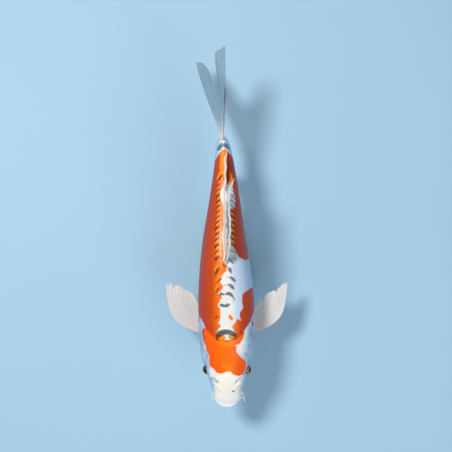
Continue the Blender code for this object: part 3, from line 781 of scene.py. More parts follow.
def markings(f):
    """The colour of the fish from the values kept on its mesh, the share of orange, and a fine speckle."""
    wander = f.swing(f.noise(420.0, 3.0, 0.6), 2.4)
    wobble = f.plus(wander, f.swing(f.noise(1500.0, 2.0), 1.0))
    cloud = f.noise(60.0, 4.0, 0.6)
    speckle = f.noise(900.0, 3.0, 0.65)
    behind, flank, patch, stroke = map(f.attribute, ("behind", "flank", "orange", "dark"))

    snout = f.times(f.between(behind, 38.0, 74.0, 1.0, 0.0), f.between(flank, 0.20, 0.36, 0.95, 0.0))
    lips = f.times(f.between(behind, 10.0, 30.0, 0.9, 0.0), f.between(flank, 0.4, 0.6, 1.0, 0.0))
    # painted shade and painted blue reflection, in blue-grey spots on the nostrils, cheeks and gill covers
    cool = f.times(f.attribute("cool"), f.between(f.noise(150.0, 4.0, 0.6), 0.32, 0.60, 0.4, 1.0))
    bleed = f.between(f.plus(patch, wobble), -2.6, -0.2, 0.0, 0.42)
    white = f.layers(
        f.blend(cloud, (0.79, 0.765, 0.73), (0.73, 0.72, 0.71)),
        # painted reflection: the white turns blue down the sides, standing for blue surroundings reflected in
        # the wet skin
        (f.between(flank, 0.03, 0.14), (0.53, 0.65, 0.80)),
        (f.between(flank, 0.16, 0.38), (0.36, 0.54, 0.76)),
        (f.between(flank, 0.39, 0.56), (0.76, 0.79, 0.82)),
        (f.between(flank, 0.56, 0.92), (0.86, 0.84, 0.80)),
        (f.maths("MAXIMUM", snout, lips), (0.97, 0.94, 0.90)),
        (f.times(f.attribute("cream"), 0.85), (0.96, 0.88, 0.73)),
        (f.times(cool, 0.75), (0.21, 0.31, 0.42)),
        (f.times(bleed, f.between(behind, 50.0, 72.0, 1.0, 0.25)), (0.98, 0.52, 0.30)),
    )

    # painted shade: dark red just ahead of the rear edge of each gill cover
    gill_edge_shade = f.times(f.between(behind, 104.0, 110.0), f.between(flank, 0.24, 0.34))
    bright = f.layers(
        f.blend(f.between(speckle, 0.4, 0.7), (1.0, 0.165, 0.0006), (0.98, 0.130, 0.0006)),
        (
            f.between(flank, 0.02, 0.2),
            f.blend(f.between(speckle, 0.3, 0.7), (0.98, 0.130, 0.002), (0.95, 0.105, 0.002)),
        ),
        (f.between(flank, 0.19, 0.36), (1.0, 0.098, 0.007)),
        (gill_edge_shade, (0.44, 0.022, 0.022)),
    )
    # painted gold highlights and deep red painted shade on the folds and beside the marks, with the gold
    # spots on the nape and the top of the head
    gleam = f.plus(f.attribute("gleam"), f.times(wander, 0.10))
    orange = f.layers(
        f.blend(f.between(speckle, 0.35, 0.7), (0.64, 0.080, 0.003), (0.55, 0.058, 0.003)),
        (f.between(cloud, 0.35, 0.65, 0.0, 0.6), (0.53, 0.058, 0.006)),
        # painted highlight and shade: lighter, yellower orange along the top of the back, and darker red down
        # the flanks, partly the flank's own deeper red and partly painted shade
        (f.between(flank, 0.05, 0.17, 0.92, 0.0), (0.88, 0.185, 0.008)),
        (f.between(flank, 0.10, 0.42), (0.42, 0.028, 0.010)),
        (f.between(f.plus(f.attribute("head"), f.times(wander, 1.6)), -1.0, 2.2), bright),
        # painted gold highlight, then deep red painted shade
        (f.between(gleam, 0.05, 0.9), (1.0, 0.26, 0.006)),
        (f.between(gleam, -0.9, -0.05, 0.9, 0.0), (0.16, 0.014, 0.008)),
    )

    share = edge_of(f, patch, wobble, 0.45)
    deep = f.between(f.plus(stroke, f.swing(speckle, 7.0)), -0.5, 3.2)
    far_back = f.between(behind, 180.0, 205.0)
    grey = f.layers(
        f.blend(far_back, (0.18, 0.215, 0.245), (0.20, 0.30, 0.37)),
        (deep, f.blend(far_back, (0.045, 0.058, 0.072), (0.075, 0.125, 0.150))),
        (f.between(behind, 335.0, 350.0), (0.080, 0.170, 0.250)),
    )
    deep_brown = f.blend(f.between(behind, 112.0, 125.0), (0.070, 0.018, 0.010), (0.125, 0.028, 0.010))
    mark = f.blend(share, grey, f.blend(deep, (0.26, 0.060, 0.012), deep_brown))
    dark = edge_of(f, stroke, f.times(wobble, 0.8), 0.7)
    return f.layers(white, (share, orange), (f.times(dark, 0.95), mark)), share, speckle


def skin_finish():
    f = Finish("koi_skin", Coat_Weight=0.08, Coat_Roughness=0.20, Specular_IOR_Level=0.12)
    colour, _, speckle = markings(f)
    grain = f.bump(f.noise(700.0, 4.0, 0.6), 0.00016, 0.5)
    pits = f.bump(f.noise(2600.0, 2.0), 0.00006, 0.5, grain)
    return f.fill(Base_Color=colour, Roughness=f.between(speckle, 0.2, 0.8, 0.36, 0.48), Normal=pits)


# %% Make the skin
FLESH = ("head", "jaw_lower", "gill_cover_left", "gill_cover_right", "trunk_front", "trunk_rear", "tail_stem")
HEAD_ENDS = 130  # millimetres behind the lips


def make_skin():
    mesh, along, turn = skin_ball()
    behind, round_ = along / MM, np.degrees(turn)
    placed = points_of(mesh)
    relief = mouth_relief(behind, (placed[:, 2] - AXIS_Z) / MM) + trunk_relief(behind, round_)
    head = behind < HEAD_ENDS
    relief[head] += head_relief(flat(behind, round_)[head], behind[head], round_[head])
    normals = points_of(mesh, "vertex_normals", "vector")
    set_points(mesh, seat_eyes(placed + normals * (relief * MM)[:, None]))
    store(mesh, chart_values(behind, round_))
    object_of(mesh, "koi_skin", skin_finish(), FLESH)


make_skin()

# %% [markdown]
# ## Scales
#
# This kind of koi has bare skin, with one row of large scales along each side of the dorsal fin, a few on the
# back in front of it, and a row of small flat ones along each lateral line. A scale is a thin horny plate:
# its base sits in a pocket of the skin and its free edge points to the tail, over the base of the next. One
# plate is made from a grid pressed into a disc and given its thickness. Copies of it are then bent onto the
# body, all in one mesh. Each gets one small patch on a UV map, at its root's place on an unwrap.


# %% One plate
def plate_mesh(name, cuts):
    """A round plate 2 across: y runs from its base to its free edge, z through its thickness, 0 to 1."""
    bm = bmesh.new()
    bmesh.ops.create_grid(bm, x_segments=cuts, y_segments=cuts, size=1.0)
    for vert in bm.verts:
        x, y = vert.co.x, vert.co.y
        vert.co.x = x * math.sqrt(1 - y * y / 2)
        vert.co.y = y * math.sqrt(1 - x * x / 2)
    bmesh.ops.recalc_face_normals(bm, faces=bm.faces)
    bmesh.ops.solidify(bm, geom=bm.faces[:], thickness=1.0)
    bmesh.ops.recalc_face_normals(bm, faces=bm.faces)
    bmesh.ops.translate(bm, verts=bm.verts, vec=(0, 0, -min(vert.co.z for vert in bm.verts)))
    return mesh_of(bm, name)


# %% Where the scales sit
# the line of each row: millimetres behind the lips, degrees round
LEFT_ROW = (
    (108, 8), (147, 5), (160, 7), (170, 10), (180, 13), (191, 12.5), (204, 13), (231, 15), (254, 15.5),
    (276, 16), (292, 19), (304, 21), (316, 25),
)
RIGHT_ROW = (
    (108, -9), (147, -5), (160, -8), (170, -12), (180, -14), (191, -12), (204, -9), (231, -9.5),
    (254, -10), (276, -10.5), (292, -16), (304, -16), (316, -18),
)
NAPE_GAP, NAPE_SCALE, ROW_START, ROW_END = 94.0, 107.0, 146.5, 318
LINE_START, LINE_END, LINE_STEP = 134.9, 358.0, 6.9


def back_row(line):
    """Places along a row of the back, closer together towards the tail."""
    at = ROW_START
    places = [NAPE_SCALE]
    while at < ROW_END:
        places.append(at)
        at += float(smooth_through((146, 165, 200, 230, 320), (13.0, 9.8, 8.6, 7.6, 7.4), at))
    along, turns = np.array(line, float).T
    return zip(places, smooth_through(along, turns, places))


def back_scales():
    """Every scale of the back: place, half length, half width, share of that on the side of the midline,
    twist towards the midline, strength of its dark base and painted shadow, which also sets how strong its
    painted rim highlight is, and the gap to the scale ahead."""
    found = []
    for side, line in ((1, LEFT_ROW), (-1, RIGHT_ROW)):
        last = NAPE_GAP
        for behind, round_ in back_row(line):
            size = np.interp(behind, (107, 147, 190, 206, 250, 290, 320), (6.4, 6.2, 6.4, 9.4, 9.4, 8.0, 5.8))
            inner = np.interp(behind, (190, 206), (1.0, 0.55))
            twist = side * math.radians(np.interp(behind, (140, 196, 208, 310), (6, 8, -11, -11)))
            dark = soft_step(193, 206, behind) * (1 - soft_step(303, 312, behind))
            size *= chance.uniform(0.95, 1.05)
            twist += chance.uniform(-0.07, 0.07)
            found.append((behind, round_, size, size * 1.08, inner, twist, dark, behind - last))
            last = behind
    return found


def line_scales():
    """The small flat scales along both lateral lines."""
    found = []
    for side in (1, -1):
        for behind in np.arange(LINE_START, LINE_END, LINE_STEP):
            size = float(smooth_through((128, 200, 358), (5.0, 5.2, 3.4), behind))
            round_ = side * (LATERAL_TURN + chance.uniform(-0.8, 0.8))
            twist = chance.uniform(-0.05, 0.05)
            found.append((behind, round_, size, size * 0.86, 1.0, twist, 0.0, LINE_STEP))
    return found


# %% Bend plates onto the body
SCALE_THICK = 0.32  # millimetres, as are the next three
SINK = -0.45  # of a scale's base over the skin: it sits in a pocket
RISE = 0.60  # of the free edge of a scale of the back
LINE_RISE = 0.10  # of the free edge of a scale of the lateral line
BAKE_HALF = 0.0015  # half the width of a scale's patch on its UV map


def bent_scale(local, rise, behind, round_, length, width, inner, twist, dark, gap):
    """One scale's points on the body, with its values for the finish and its patch on the bake map."""
    x, y, z = local.T
    outer = np.clip(-x * np.sign(round_), -1, 1)
    wide = width * np.where(outer < 0, inner, 1.0)
    at = behind + (y * length * math.cos(twist) - x * wide * math.sin(twist))
    aside = -x * wide * math.cos(twist) - y * length * math.sin(twist)
    turned = round_ + np.degrees(aside / girth(behind))
    height = SINK + (rise - SINK) * soft_step(-1.0, 0.9, y) + 0.10 * (1 - x * x) + (z - 1) * SCALE_THICK
    past_last = np.hypot(x, y + gap / length)  # how far past the free edge of the scale ahead
    # a dark band just past the free edge of the scale ahead: partly the base's dark pigment, partly painted
    # shadow of that edge
    pigment_and_shadow_band = soft_step(0.94, 1.02, past_last)
    pigment_and_shadow_band *= 1 - soft_step(1.14 + 0.16 * outer, 1.36 + 0.24 * outer, past_last)
    # painted highlight: the rear, free edge of each scale is painted lighter, weaker towards its outer end
    lit = soft_step(0.55, 0.82, np.hypot(x, y)) * soft_step(-0.45, 0.25, y)
    lit *= soft_step(-1.25, -0.45, outer) * (1 - 0.85 * soft_step(0.40, 0.80, outer))
    return {
        "place": body_point(at * MM, np.radians(turned), height * MM - SKIN_DEPTH),
        "behind": at,
        "round": turned,
        "own_dark": np.clip(pigment_and_shadow_band * (0.55 + 0.75 * outer), 0, 1) * dark,
        "rim": (0.45 + 0.55 * soft_step(0.86, 0.95, np.hypot(x, y))) * lit * (0.20 + 0.80 * dark),
        "u": (round_ / 360 + 0.5) * 0.99 + BAKE_HALF * x,
        "v": behind * MM / BODY_LENGTH * 0.99 + BAKE_HALF * y,
    }


def lay_scales(name, cuts, scales, rise, finish):
    """Joins a plate for each scale, in one mesh bent onto the skin."""
    plate = plate_mesh(name + "_plate", cuts)
    bm = bmesh.new()
    for _ in scales:
        bm.from_mesh(plate)
    mesh = mesh_of(bm, name)
    local = points_of(plate)
    bent = [bent_scale(local, rise, *scale) for scale in scales]
    values = {key: np.concatenate([one[key] for one in bent]) for key in bent[0]}
    set_points(mesh, values["place"])
    store(mesh, chart_values(values["behind"], values["round"]))
    store(mesh, {key: values[key] for key in ("own_dark", "rim")})
    corners = np.empty(len(mesh.loops), np.int32)
    mesh.loops.foreach_get("vertex_index", corners)
    spots = np.stack([values["u"], values["v"]], axis=1)[corners]
    mesh.uv_layers.new(name="OFBake").uv.foreach_set("vector", spots.astype(np.float32).ravel())
    object_of(mesh, name, finish)


# %% Finish of the scales
def scale_finish():
    f = Finish("koi_scales", Coat_Weight=0.14, Coat_Roughness=0.22, Specular_IOR_Level=0.25)
    colour, share, speckle = markings(f)
    uneven = f.swing(speckle, 0.5)
    rim = f.attribute("rim")
    # the dark base is dark pigment with a painted shadow of the scale ahead
    base = f.between(f.plus(f.attribute("own_dark"), uneven), 0.20, 0.72, 0.0, 0.92)
    # painted highlights: a gold ring and a paler edge along each scale's raised free edge
    ring = f.between(f.plus(rim, uneven), 0.10, 0.50, 0.0, 0.9)
    edge = f.between(rim, 0.62, 0.95, 0.0, 0.85)
    colour = f.layers(
        colour,
        (base, f.blend(share, (0.30, 0.38, 0.44), (0.15, 0.030, 0.009))),
        (ring, f.blend(share, (0.84, 0.86, 0.84), (1.0, 0.33, 0.035))),
        (edge, f.blend(share, (0.95, 0.93, 0.88), (1.0, 0.58, 0.30))),
    )
    grain = f.bump(f.noise(900.0), 0.00012, 0.4)
    return f.fill(Base_Color=colour, Roughness=f.between(speckle, 0.2, 0.8, 0.26, 0.38), Normal=grain)


scale_look = scale_finish()
lay_scales("scales_of_the_back", 12, back_scales(), RISE, scale_look)
lay_scales("scales_of_the_lateral_line", 5, line_scales(), LINE_RISE, scale_look)

# %% [markdown]
# ## Eyes
#
# A carp's eye is a ball with a clear bulging front. Its iris is copper with a thin gold ring round a black
# pupil. The ball's pole points along the gaze, so that every ring of the iris is a ring of the mesh, and the
# angle from the gaze is kept on each vertex for the finish to read.

# %% Eyeballs
EYE_SIDES = 72
EYE_RINGS = 56
STREAKS = 36  # rays of lighter copper in the iris
# the way each eye looks, out, a little up and a little forward, and how dark its top is
EYES = {"eye_left": ((0.90, -0.15, 0.40), 0.12), "eye_right": ((-0.90, -0.15, 0.40), 0.94)}


def eye_finish():
    f = Finish("koi_eye", Coat_Weight=0.55, Coat_Roughness=0.03, Specular_IOR_Level=0.3, Roughness=0.25)
    angle = f.attribute("from_gaze")
    copper = f.layers(
        f.blend(f.attribute("streak"), (0.34, 0.080, 0.018), (0.56, 0.170, 0.038)),
        (f.between(f.noise(1200.0), 0.5, 0.7, 0.0, 0.6), (0.10, 0.030, 0.012)),
        (f.between(angle, 46.0, 60.0, 0.0, 0.85), (0.12, 0.030, 0.012)),
    )
    colour = f.layers(
        (0.003, 0.003, 0.004),  # the pupil, then the gold ring, the iris and the white
        (f.between(angle, 34.0, 35.5), (0.60, 0.33, 0.09)),
        (f.between(angle, 35.5, 37.5), copper),
        (f.between(angle, 66.0, 70.0), (0.62, 0.68, 0.74)),
        (f.attribute("shade"), (0.020, 0.014, 0.012)),
    )
    return f.fill(Base_Color=colour)


def make_eye(name, gaze, dark, finish):
    centre, radius = eye_place(name)
    mesh = ball_mesh(name + "_ball", EYE_SIDES, EYE_RINGS)
    ball = points_of(mesh)
    angle = np.degrees(np.arccos(np.clip(ball[:, 2], -1, 1)))
    clock = np.degrees(np.arctan2(ball[:, 1], ball[:, 0])) + 180
    tones = [chance.uniform(0, 1) for _ in range(STREAKS + 1)]
    streak = np.interp(clock / 360 * STREAKS, np.arange(STREAKS + 1), tones[:-1] + tones[:1])
    swell = 0.30 * (1 - soft_step(18, 50, angle)) - 0.22 * hump(angle - 54, 5)
    reach = radius + (swell - EYE_INSET) * MM
    turn = Vector((0, 0, 1)).rotation_difference(Vector(gaze).normalized()).to_matrix()
    turned = ball @ np.array(turn).T
    set_points(mesh, centre + turned * reach[:, None])
    shade = soft_step(0.15, 0.55, turned[:, 2]) * dark
    store(mesh, {"from_gaze": angle, "streak": streak, "shade": shade})
    object_of(mesh, name + "_ball", finish, (name,))


eye_look = eye_finish()
for name, (gaze, dark) in EYES.items():
    make_eye(name, gaze, dark, eye_look)


# %% [markdown]
# ## Fins
#
# A fin is a skin stretched over bony rays. Each ray starts as one rod at the root and forks twice on its way
# to the margin, so the margin has four fine tips for each ray. The fin's surface is a grid bent by the same
# curves as its solid. Its thickness comes from a Solidify modifier with a weight on every vertex, high on the
# crests of the rays and low between them, so both faces get real ridges. Small cuts make the margin ragged.

# %% Curves and rays
FIRST_FORK, SECOND_FORK = 0.42, 0.72  # how far out a ray begins to part


def bezier(start, out, back, end, t):
    t = np.asarray(t)[:, None]
    return start * (1 - t) ** 3 + out * 3 * (1 - t) ** 2 * t + back * 3 * (1 - t) * t * t + end * t**3


def between_points(points, share):
    """A smooth curve through evenly counted points."""
    return smooth_through(np.arange(len(points)), points, share * (len(points) - 1))


def fish_points(x, along, z):
    """Points given from the fish's axis and the line of its lips."""
    return np.stack([x, SNOUT_Y + along, AXIS_Z + z], axis=-1)


def lerp(a, b, share):
    return np.array(a) + (np.array(b) - np.array(a)) * share[:, None]


def lengths(vectors):
    return np.linalg.norm(vectors, axis=1)[:, None]


def ray_crest(across, out, rays):
    """1 on the crest of a ray, 0 between two. Each ray forks twice on its way out."""
    off = np.abs(across * rays % 1 - 0.5)
    off = np.abs(off - 0.25 * soft_step(FIRST_FORK, 1.15, out))
    off = np.abs(off - 0.125 * soft_step(SECOND_FORK, 1.1, out))
    return hump(off, 0.17 - 0.10 * out)


def ragged(across, out, rays, cut):
    """How far the margin draws back between the tips of the rays, near the margin only."""
    tips = ray_crest(across, 1.0, rays)
    uneven = 0.5 + 0.5 * np.sin(across * rays * 2.1) * np.sin(across * rays * 0.73 + 1.0)
    return cut * (1 - tips) * (0.35 + uneven) * soft_step(0.80, 1.0, out)


# %% Build a fin
FIN_LEAST = 0.00034  # thickness of the membrane at the margin
SPLIT_START = 0.34  # how far out a split fin parts
PER_RAY = 12  # columns of faces to each ray


def make_fin(name, node, surface, finish, rays, rows, root_thick, fleshy, cut, split=None, ridge=1.0):
    """A fin over surface(across, out). rows is how many rings of faces it has, fleshy how far out its thick
    root reaches, cut how ragged its margin is, split the place where its membrane is parted, and ridge how
    high the rays stand."""
    columns = rays * PER_RAY
    bm = bmesh.new()
    bmesh.ops.create_grid(bm, x_segments=columns, y_segments=rows, size=0.5)
    if split:
        middles = [(face, face.calc_center_median()) for face in bm.faces]
        parted = [
            face for face, middle in middles
            if abs(middle.x + 0.5 - split) < 0.5 / columns and middle.y + 0.5 > SPLIT_START
        ]
        bmesh.ops.delete(bm, geom=parted, context="FACES")
    mesh = mesh_of(bm, name)
    across, out = (points_of(mesh)[:, :2] + 0.5).T
    crest = ray_crest(across, out, rays)
    set_points(mesh, surface(across, out * (1 - ragged(across, out, rays, cut))))
    thick = FIN_LEAST + (0.00030 * ridge + 0.00045 * (1 - out)) * crest
    thick += (root_thick - 0.0011) * np.exp(-((out / fleshy) ** 2))
    thick += 0.00035 * np.maximum(hump(across, 0.022), hump(1 - across, 0.012)) * (1 - 0.6 * out)
    made = object_of(mesh, name, finish, (node,))
    store(mesh, {"ray": crest, "out": out, "across": across})
    group = made.vertex_groups.new(name="thickness")
    for index, weight in enumerate(np.clip((thick - FIN_LEAST) / (root_thick - FIN_LEAST), 0, 1)):
        group.add([index], float(weight), "REPLACE")
    solid = made.modifiers.new("thickness", "SOLIDIFY")
    solid.thickness = root_thick
    solid.offset = 0.0
    solid.vertex_group = "thickness"
    solid.thickness_vertex_group = FIN_LEAST / root_thick


# %% [markdown]
# The finish of the fins is milky and a little see-through between the rays. The crests are paler, with fine
# cross joints, and thin grey lines run beside them. A blush of pink lies near the front of each root.


# %% Finish of the fins
def fin_finish(name, clear, blush, line, membrane=(0.66, 0.66, 0.68), far=None, streak=None):
    """clear is how much the membrane lets through, line how dark the lines beside the rays are, and far the
    colour of the crests away from the root. streak(f, out, across) gives the share of dark paint, which on
    the dorsal and tail fins is painted shade."""
    f = Finish(name, Coat_Weight=0.25, Coat_Roughness=0.2, Specular_IOR_Level=0.4, Roughness=0.40)
    ray, out, across = map(f.attribute, ("ray", "out", "across"))
    cloud = f.noise(70.0, 3.0, 0.6)
    skin_tone = f.blend(cloud, membrane, tuple(tone * 0.9 for tone in membrane))
    crest_tone = f.blend(cloud, (0.90, 0.85, 0.79), (0.82, 0.79, 0.79))
    if far:
        grown = f.plus(out, f.swing(cloud, 0.25))
        skin_tone = f.blend(f.between(grown, 0.10, 0.30, 1.0, 0.0), skin_tone, (0.74, 0.72, 0.72))
        away = f.times(f.between(out, 0.18, 0.48), f.between(across, 0.03, 0.08))
        crest_tone = f.blend(f.maths("MAXIMUM", away, f.between(out, 0.40, 0.62)), crest_tone, far)
    beside = f.times(f.between(ray, 0.05, 0.28), f.between(ray, 0.32, 0.60, 1.0, 0.0))
    beside = f.times(beside, f.between(out, 0.06, 0.22))
    pink = f.times(f.between(out, 0.10, 0.62, 1.0, 0.0), f.between(across, 0.02, 0.75, 1.0, 0.1))
    pink = f.times(pink, f.between(f.noise(120.0), 0.35, 0.65, 0.45, 1.0))
    colour = f.layers(
        skin_tone,
        (f.between(ray, 0.15, 0.75), crest_tone),
        (f.times(beside, line), (0.34, 0.35, 0.40)),
        (f.times(pink, blush), (0.78, 0.50, 0.46)),
    )
    solid = f.between(ray, 0.10, 0.70, 1.0 - clear, 1.0 - clear * 0.65)
    solid = f.maths("MAXIMUM", solid, f.between(out, 0.05, 0.32, 1.0, 0.0))
    if streak:
        dark = streak(f, out, across)
        colour = f.blend(f.times(dark, 0.94), colour, (0.028, 0.027, 0.045))
        solid = f.maths("MAXIMUM", solid, dark)
    joints = f.plus(f.maths("SINE", f.times(out, 260.0)), 1.0)
    joints = f.bump(f.times(joints, f.between(ray, 0.4, 0.8)), 0.00008, 0.5)
    return f.fill(Base_Color=colour, Normal=joints, Alpha=solid)


# %% Pectoral fins
# the share of the way round the margin, and how far it stands out or is cut back there in millimetres
LEFT_JAGS = (
    (0, -0.2), (0.07, 1.8), (0.12, 1.2), (0.16, 2.8), (0.21, 0.6), (0.27, -0.4), (0.30, -2.4),
    (0.33, -0.6), (0.38, 0.6), (0.44, 0.8), (0.54, 1.7), (0.62, 0.7), (0.66, -2.6), (0.715, -5.6),
    (0.745, -2.0), (0.79, 6.2), (0.82, 0.6), (0.86, -1.2), (1, -1.0),
)
RIGHT_JAGS = (
    (0, -0.4), (0.03, -1.4), (0.07, -3.8), (0.105, -0.6), (0.14, 1.0), (0.17, -2.0), (0.21, -5.6),
    (0.25, -0.8), (0.30, 1.7), (0.34, -0.2), (0.38, 1.0), (0.43, -1.8), (0.50, -0.8), (0.58, -0.8),
    (0.69, -0.9), (0.74, -2.4), (0.82, -4.0), (0.88, -4.6), (1, -4.4),
)
# the smooth margin under them, as points: sideways of the axis, behind the lips, and over the axis
LEFT_MARGIN = (
    (0.0865, 0.1715, -0.033), (0.0735, 0.1625, -0.034), (0.0595, 0.1545, -0.035), (0.0500, 0.1450, -0.035),
    (0.0370, 0.1300, -0.034),
)
RIGHT_MARGIN = (
    (0.0865, 0.1715, -0.033), (0.0725, 0.1675, -0.034), (0.0570, 0.1605, -0.035), (0.0450, 0.1520, -0.035),
    (0.0365, 0.1385, -0.034),
)


def pectoral_surface(side, margin, jags):
    """The paired fins behind the gills, spread and swept back. The right one is opened wider."""
    places, cuts = np.array(jags).T

    def surface(across, out):
        root = lerp((0.026, 0.0945, -0.027), (0.026, 0.1165, -0.033), across)
        tip = between_points(margin, across)
        tip[:, 1] += smooth_through(places, cuts, across) * MM * soft_step(0.45, 1.0, out)
        reach = lengths(tip - root)
        way = lerp((0.95, 0.30, -0.06), (0.72, 0.68, -0.16), across)
        sweep = np.array((0.10, 0.98, -0.02)) * 0.50 * (1 - across[:, None] * 0.6)
        x, along, z = bezier(root, root + way * reach * 0.62, tip - sweep * reach, tip, out).T
        ripple = 0.0005 * np.sin(across * 17 + out * 3 + side) * out**2
        return fish_points(side * x + 0.0008, along, z + ripple)

    return surface


pectoral_look = fin_finish("pectoral_fin", clear=0.16, blush=0.60, line=0.38)
surfaces = {
    "left": pectoral_surface(1, LEFT_MARGIN, LEFT_JAGS),
    "right": pectoral_surface(-1, RIGHT_MARGIN, RIGHT_JAGS),
}
for word, surface in surfaces.items():
    make_fin(
        f"pectoral_fin_{word}", f"fin_pectoral_{word}", surface, pectoral_look,
        rays=17, rows=84, root_thick=0.0044, fleshy=0.16, cut=0.035,
    )


# %% [markdown]
# The dorsal fin is half folded. It leans to the fish's left, and from above its edge is a pale strip beside a
# dark line where it leaves the back; the dark of that line is painted shade of the fold. It is split near its
# end: the tall front part bends over to the left at its tip, and the last rays trail straight back.

# %% Dorsal fin
DORSAL_FRONT, DORSAL_REAR, DORSAL_SPLIT, DORSAL_RAYS = 0.195, 0.297, 0.74, 21
# distance behind the lips and height over the axis, round the margin
DORSAL_TIPS = np.array(
    (
        (0.2270, 0.0850), (0.2520, 0.0840), (0.2740, 0.0800), (0.2930, 0.0740), (0.3060, 0.0675),
        (0.3130, 0.0590), (0.3020, 0.0420), (0.3370, 0.0450), (0.3520, 0.0400),
    )
)
DORSAL_LEAN = (4.5, 7.0, 7.0, 7.7, 8.3, 7.6, 7.6, 9.8, 14.8)  # millimetres to the left, at even places
LEAN_END = 0.315
LEAN_CURVE = (0.7, 1.6)  # power of the lean at the front of the fin, and its growth to the rear
REAR_LEAN = 0.0545
REAR_TWIST = 0.0026  # the trailing rays are turned, so that they are a ribbon from above
REAR_MIDDLE = (DORSAL_SPLIT + 1) / 2  # of the trailing rays


def dorsal_surface(across, out):
    foot = DORSAL_FRONT + (DORSAL_REAR - DORSAL_FRONT) * across
    spine = body_size(foot, 5)
    back = body_point(foot, np.zeros(len(foot)))[:, 2] - AXIS_Z
    root = np.stack([spine, foot, back - 0.004], axis=-1)
    tip = np.column_stack([spine, between_points(DORSAL_TIPS, across)])
    reach = lengths(tip - root) * 0.35
    bend, trail = np.array((0.0, 0.70, 0.72)), np.array((0.0, 0.95, 0.15))
    x, along, z = bezier(root, root + bend * reach, tip - trail * reach, tip, out).T
    place = (along - DORSAL_FRONT) / (LEAN_END - DORSAL_FRONT)
    front = between_points(DORSAL_LEAN, place) * MM * out ** (LEAN_CURVE[0] + LEAN_CURVE[1] * across)
    front += 0.0005 * np.sin(along * 420) * out
    rear = REAR_LEAN * np.maximum(along - DORSAL_REAR, 0)
    twist = soft_step(0.1, 0.7, out) * (1 - 0.7 * soft_step(0.8, 1.0, out))
    rear += REAR_TWIST * (REAR_MIDDLE - across) / (1 - REAR_MIDDLE) * twist
    rear += 0.0007 * np.sin(along * 330) * soft_step(0.2, 0.6, out)
    return fish_points(x + np.where(across < DORSAL_SPLIT, front, rear), along, z)


def dorsal_fold_shade(f, out, across):
    """Painted shade of the fold: a dark line that climbs behind the first ray and runs along the fin, in
    short strokes on the rays.
    """
    wave = f.swing(f.noise(85.0), 0.51)
    from_ray = f.times(f.maths("SINE", f.times(across, DORSAL_RAYS * 2 * math.pi)), 0.055)
    height = f.between(across, 0.01, 0.15, 0.02, 0.66)
    off = f.maths("ABSOLUTE", f.maths("SUBTRACT", f.plus(f.plus(out, wave), from_ray), height))
    uneven = f.between(f.noise(230.0, 3.0, 0.6), 0.34, 0.50, 0.6, 1.0)
    dark = f.times(f.between(off, 0.06, 0.17, 1.0, 0.0), uneven)
    return f.times(dark, f.between(across, 0.30, 0.52, 1.0, 0.0))


dorsal_look = fin_finish(
    "dorsal_fin", clear=0.12, blush=0.15, line=0.32, membrane=(0.90, 0.87, 0.84), streak=dorsal_fold_shade
)
make_fin(
    "dorsal_fin", "fin_dorsal", dorsal_surface, dorsal_look,
    rays=DORSAL_RAYS, rows=56, root_thick=0.0034, fleshy=0.14, cut=0.03, split=DORSAL_SPLIT,
)

# %% [markdown]
# The tail fin is forked. Its upper lobe stands upright, and its lower lobe swings to the fish's right. The
# first rays of the upper lobe lie close together, with a dark line of painted shade in the groove between
# them.

# %% Tail fin
# each margin is a row of points: sideways of the axis, behind the lips, and over the axis
TAIL_TIPS = (
    (-0.0020, 0.4890, 0.0640), (-0.0142, 0.4800, 0.0500), (-0.0125, 0.4655, 0.0300),
    (-0.0117, 0.4515, 0.0088), (-0.0185, 0.4512, -0.0070), (-0.0244, 0.4678, -0.0240),
    (-0.0320, 0.4808, -0.0420), (-0.0430, 0.4855, -0.0580),
)
# the dark line: how far to the side it starts, at what y, and its drift to the side for each metre back
STREAK_X, STREAK_Y, STREAK_DRIFT = -0.0042, 0.2088, 0.045


def tail_surface(across, out):
    ones = np.ones(len(across))
    root = np.stack([body_size(BODY_LENGTH, 5) * ones, 0.367 * ones, 0.0240 - 0.048 * across], axis=-1)
    tip = between_points(TAIL_TIPS, across)
    way = tip - root
    reach = lengths(way)
    fan = (0.5 - across) * 2
    out_way = np.stack([0.22 * fan, 0.93 * ones, 0.42 * fan], axis=-1)
    back_way = (way / reach + np.stack([-0.02 * ones, ones, 0.10 * fan], axis=-1)) / 2
    x, along, z = bezier(root, root + out_way * reach * 0.30, tip - back_way * reach * 0.30, tip, out).T
    return fish_points(x + 0.0006 * np.sin(across * 26 + out * 2) * out**2, along, z)


def tail_groove_shade(f, out, across):
    """Painted shade in the groove between the first rays: a thin dark line along the upper edge, broken near
    the root and broad at its end.
    """
    aside = f.vector("DOT_PRODUCT", (1.0, -STREAK_DRIFT, 0.0))["Value"]
    wave = f.swing(f.noise(60.0, 2.0), 0.0012)
    off = f.maths("ABSOLUTE", f.plus(f.maths("SUBTRACT", aside, STREAK_X - STREAK_DRIFT * STREAK_Y), wave))
    off = f.plus(off, f.between(out, 0.30, 0.44, 0.00008, 0.0))
    broken = f.between(f.noise(300.0, 2.0, 0.6, stretch=(0.3, 1.0, 0.3)), 0.36, 0.46)
    broken = f.maths("MAXIMUM", broken, f.between(out, 0.30, 0.42))
    dark = f.times(f.between(off, 0.0004, 0.0009, 1.0, 0.0), broken)
    dark = f.times(dark, f.between(out, 0.55, 0.60, 1.0, 0.0))
    return f.times(dark, f.between(across, 0.10, 0.16, 1.0, 0.0))


# painted light: the tail's dark blue membrane and crests stand for blue light seen through the fin, not the
# fin's own milky colour
tail_look = fin_finish(
    "tail_fin", clear=0.52, blush=0.10, line=0.10, membrane=(0.20, 0.33, 0.43), far=(0.27, 0.41, 0.51),
    streak=tail_groove_shade,
)
make_fin(
    "tail_fin", "fin_tail", tail_surface, tail_look,
    rays=20, rows=96, root_thick=0.0050, fleshy=0.17, cut=0.012, ridge=0.35,
)

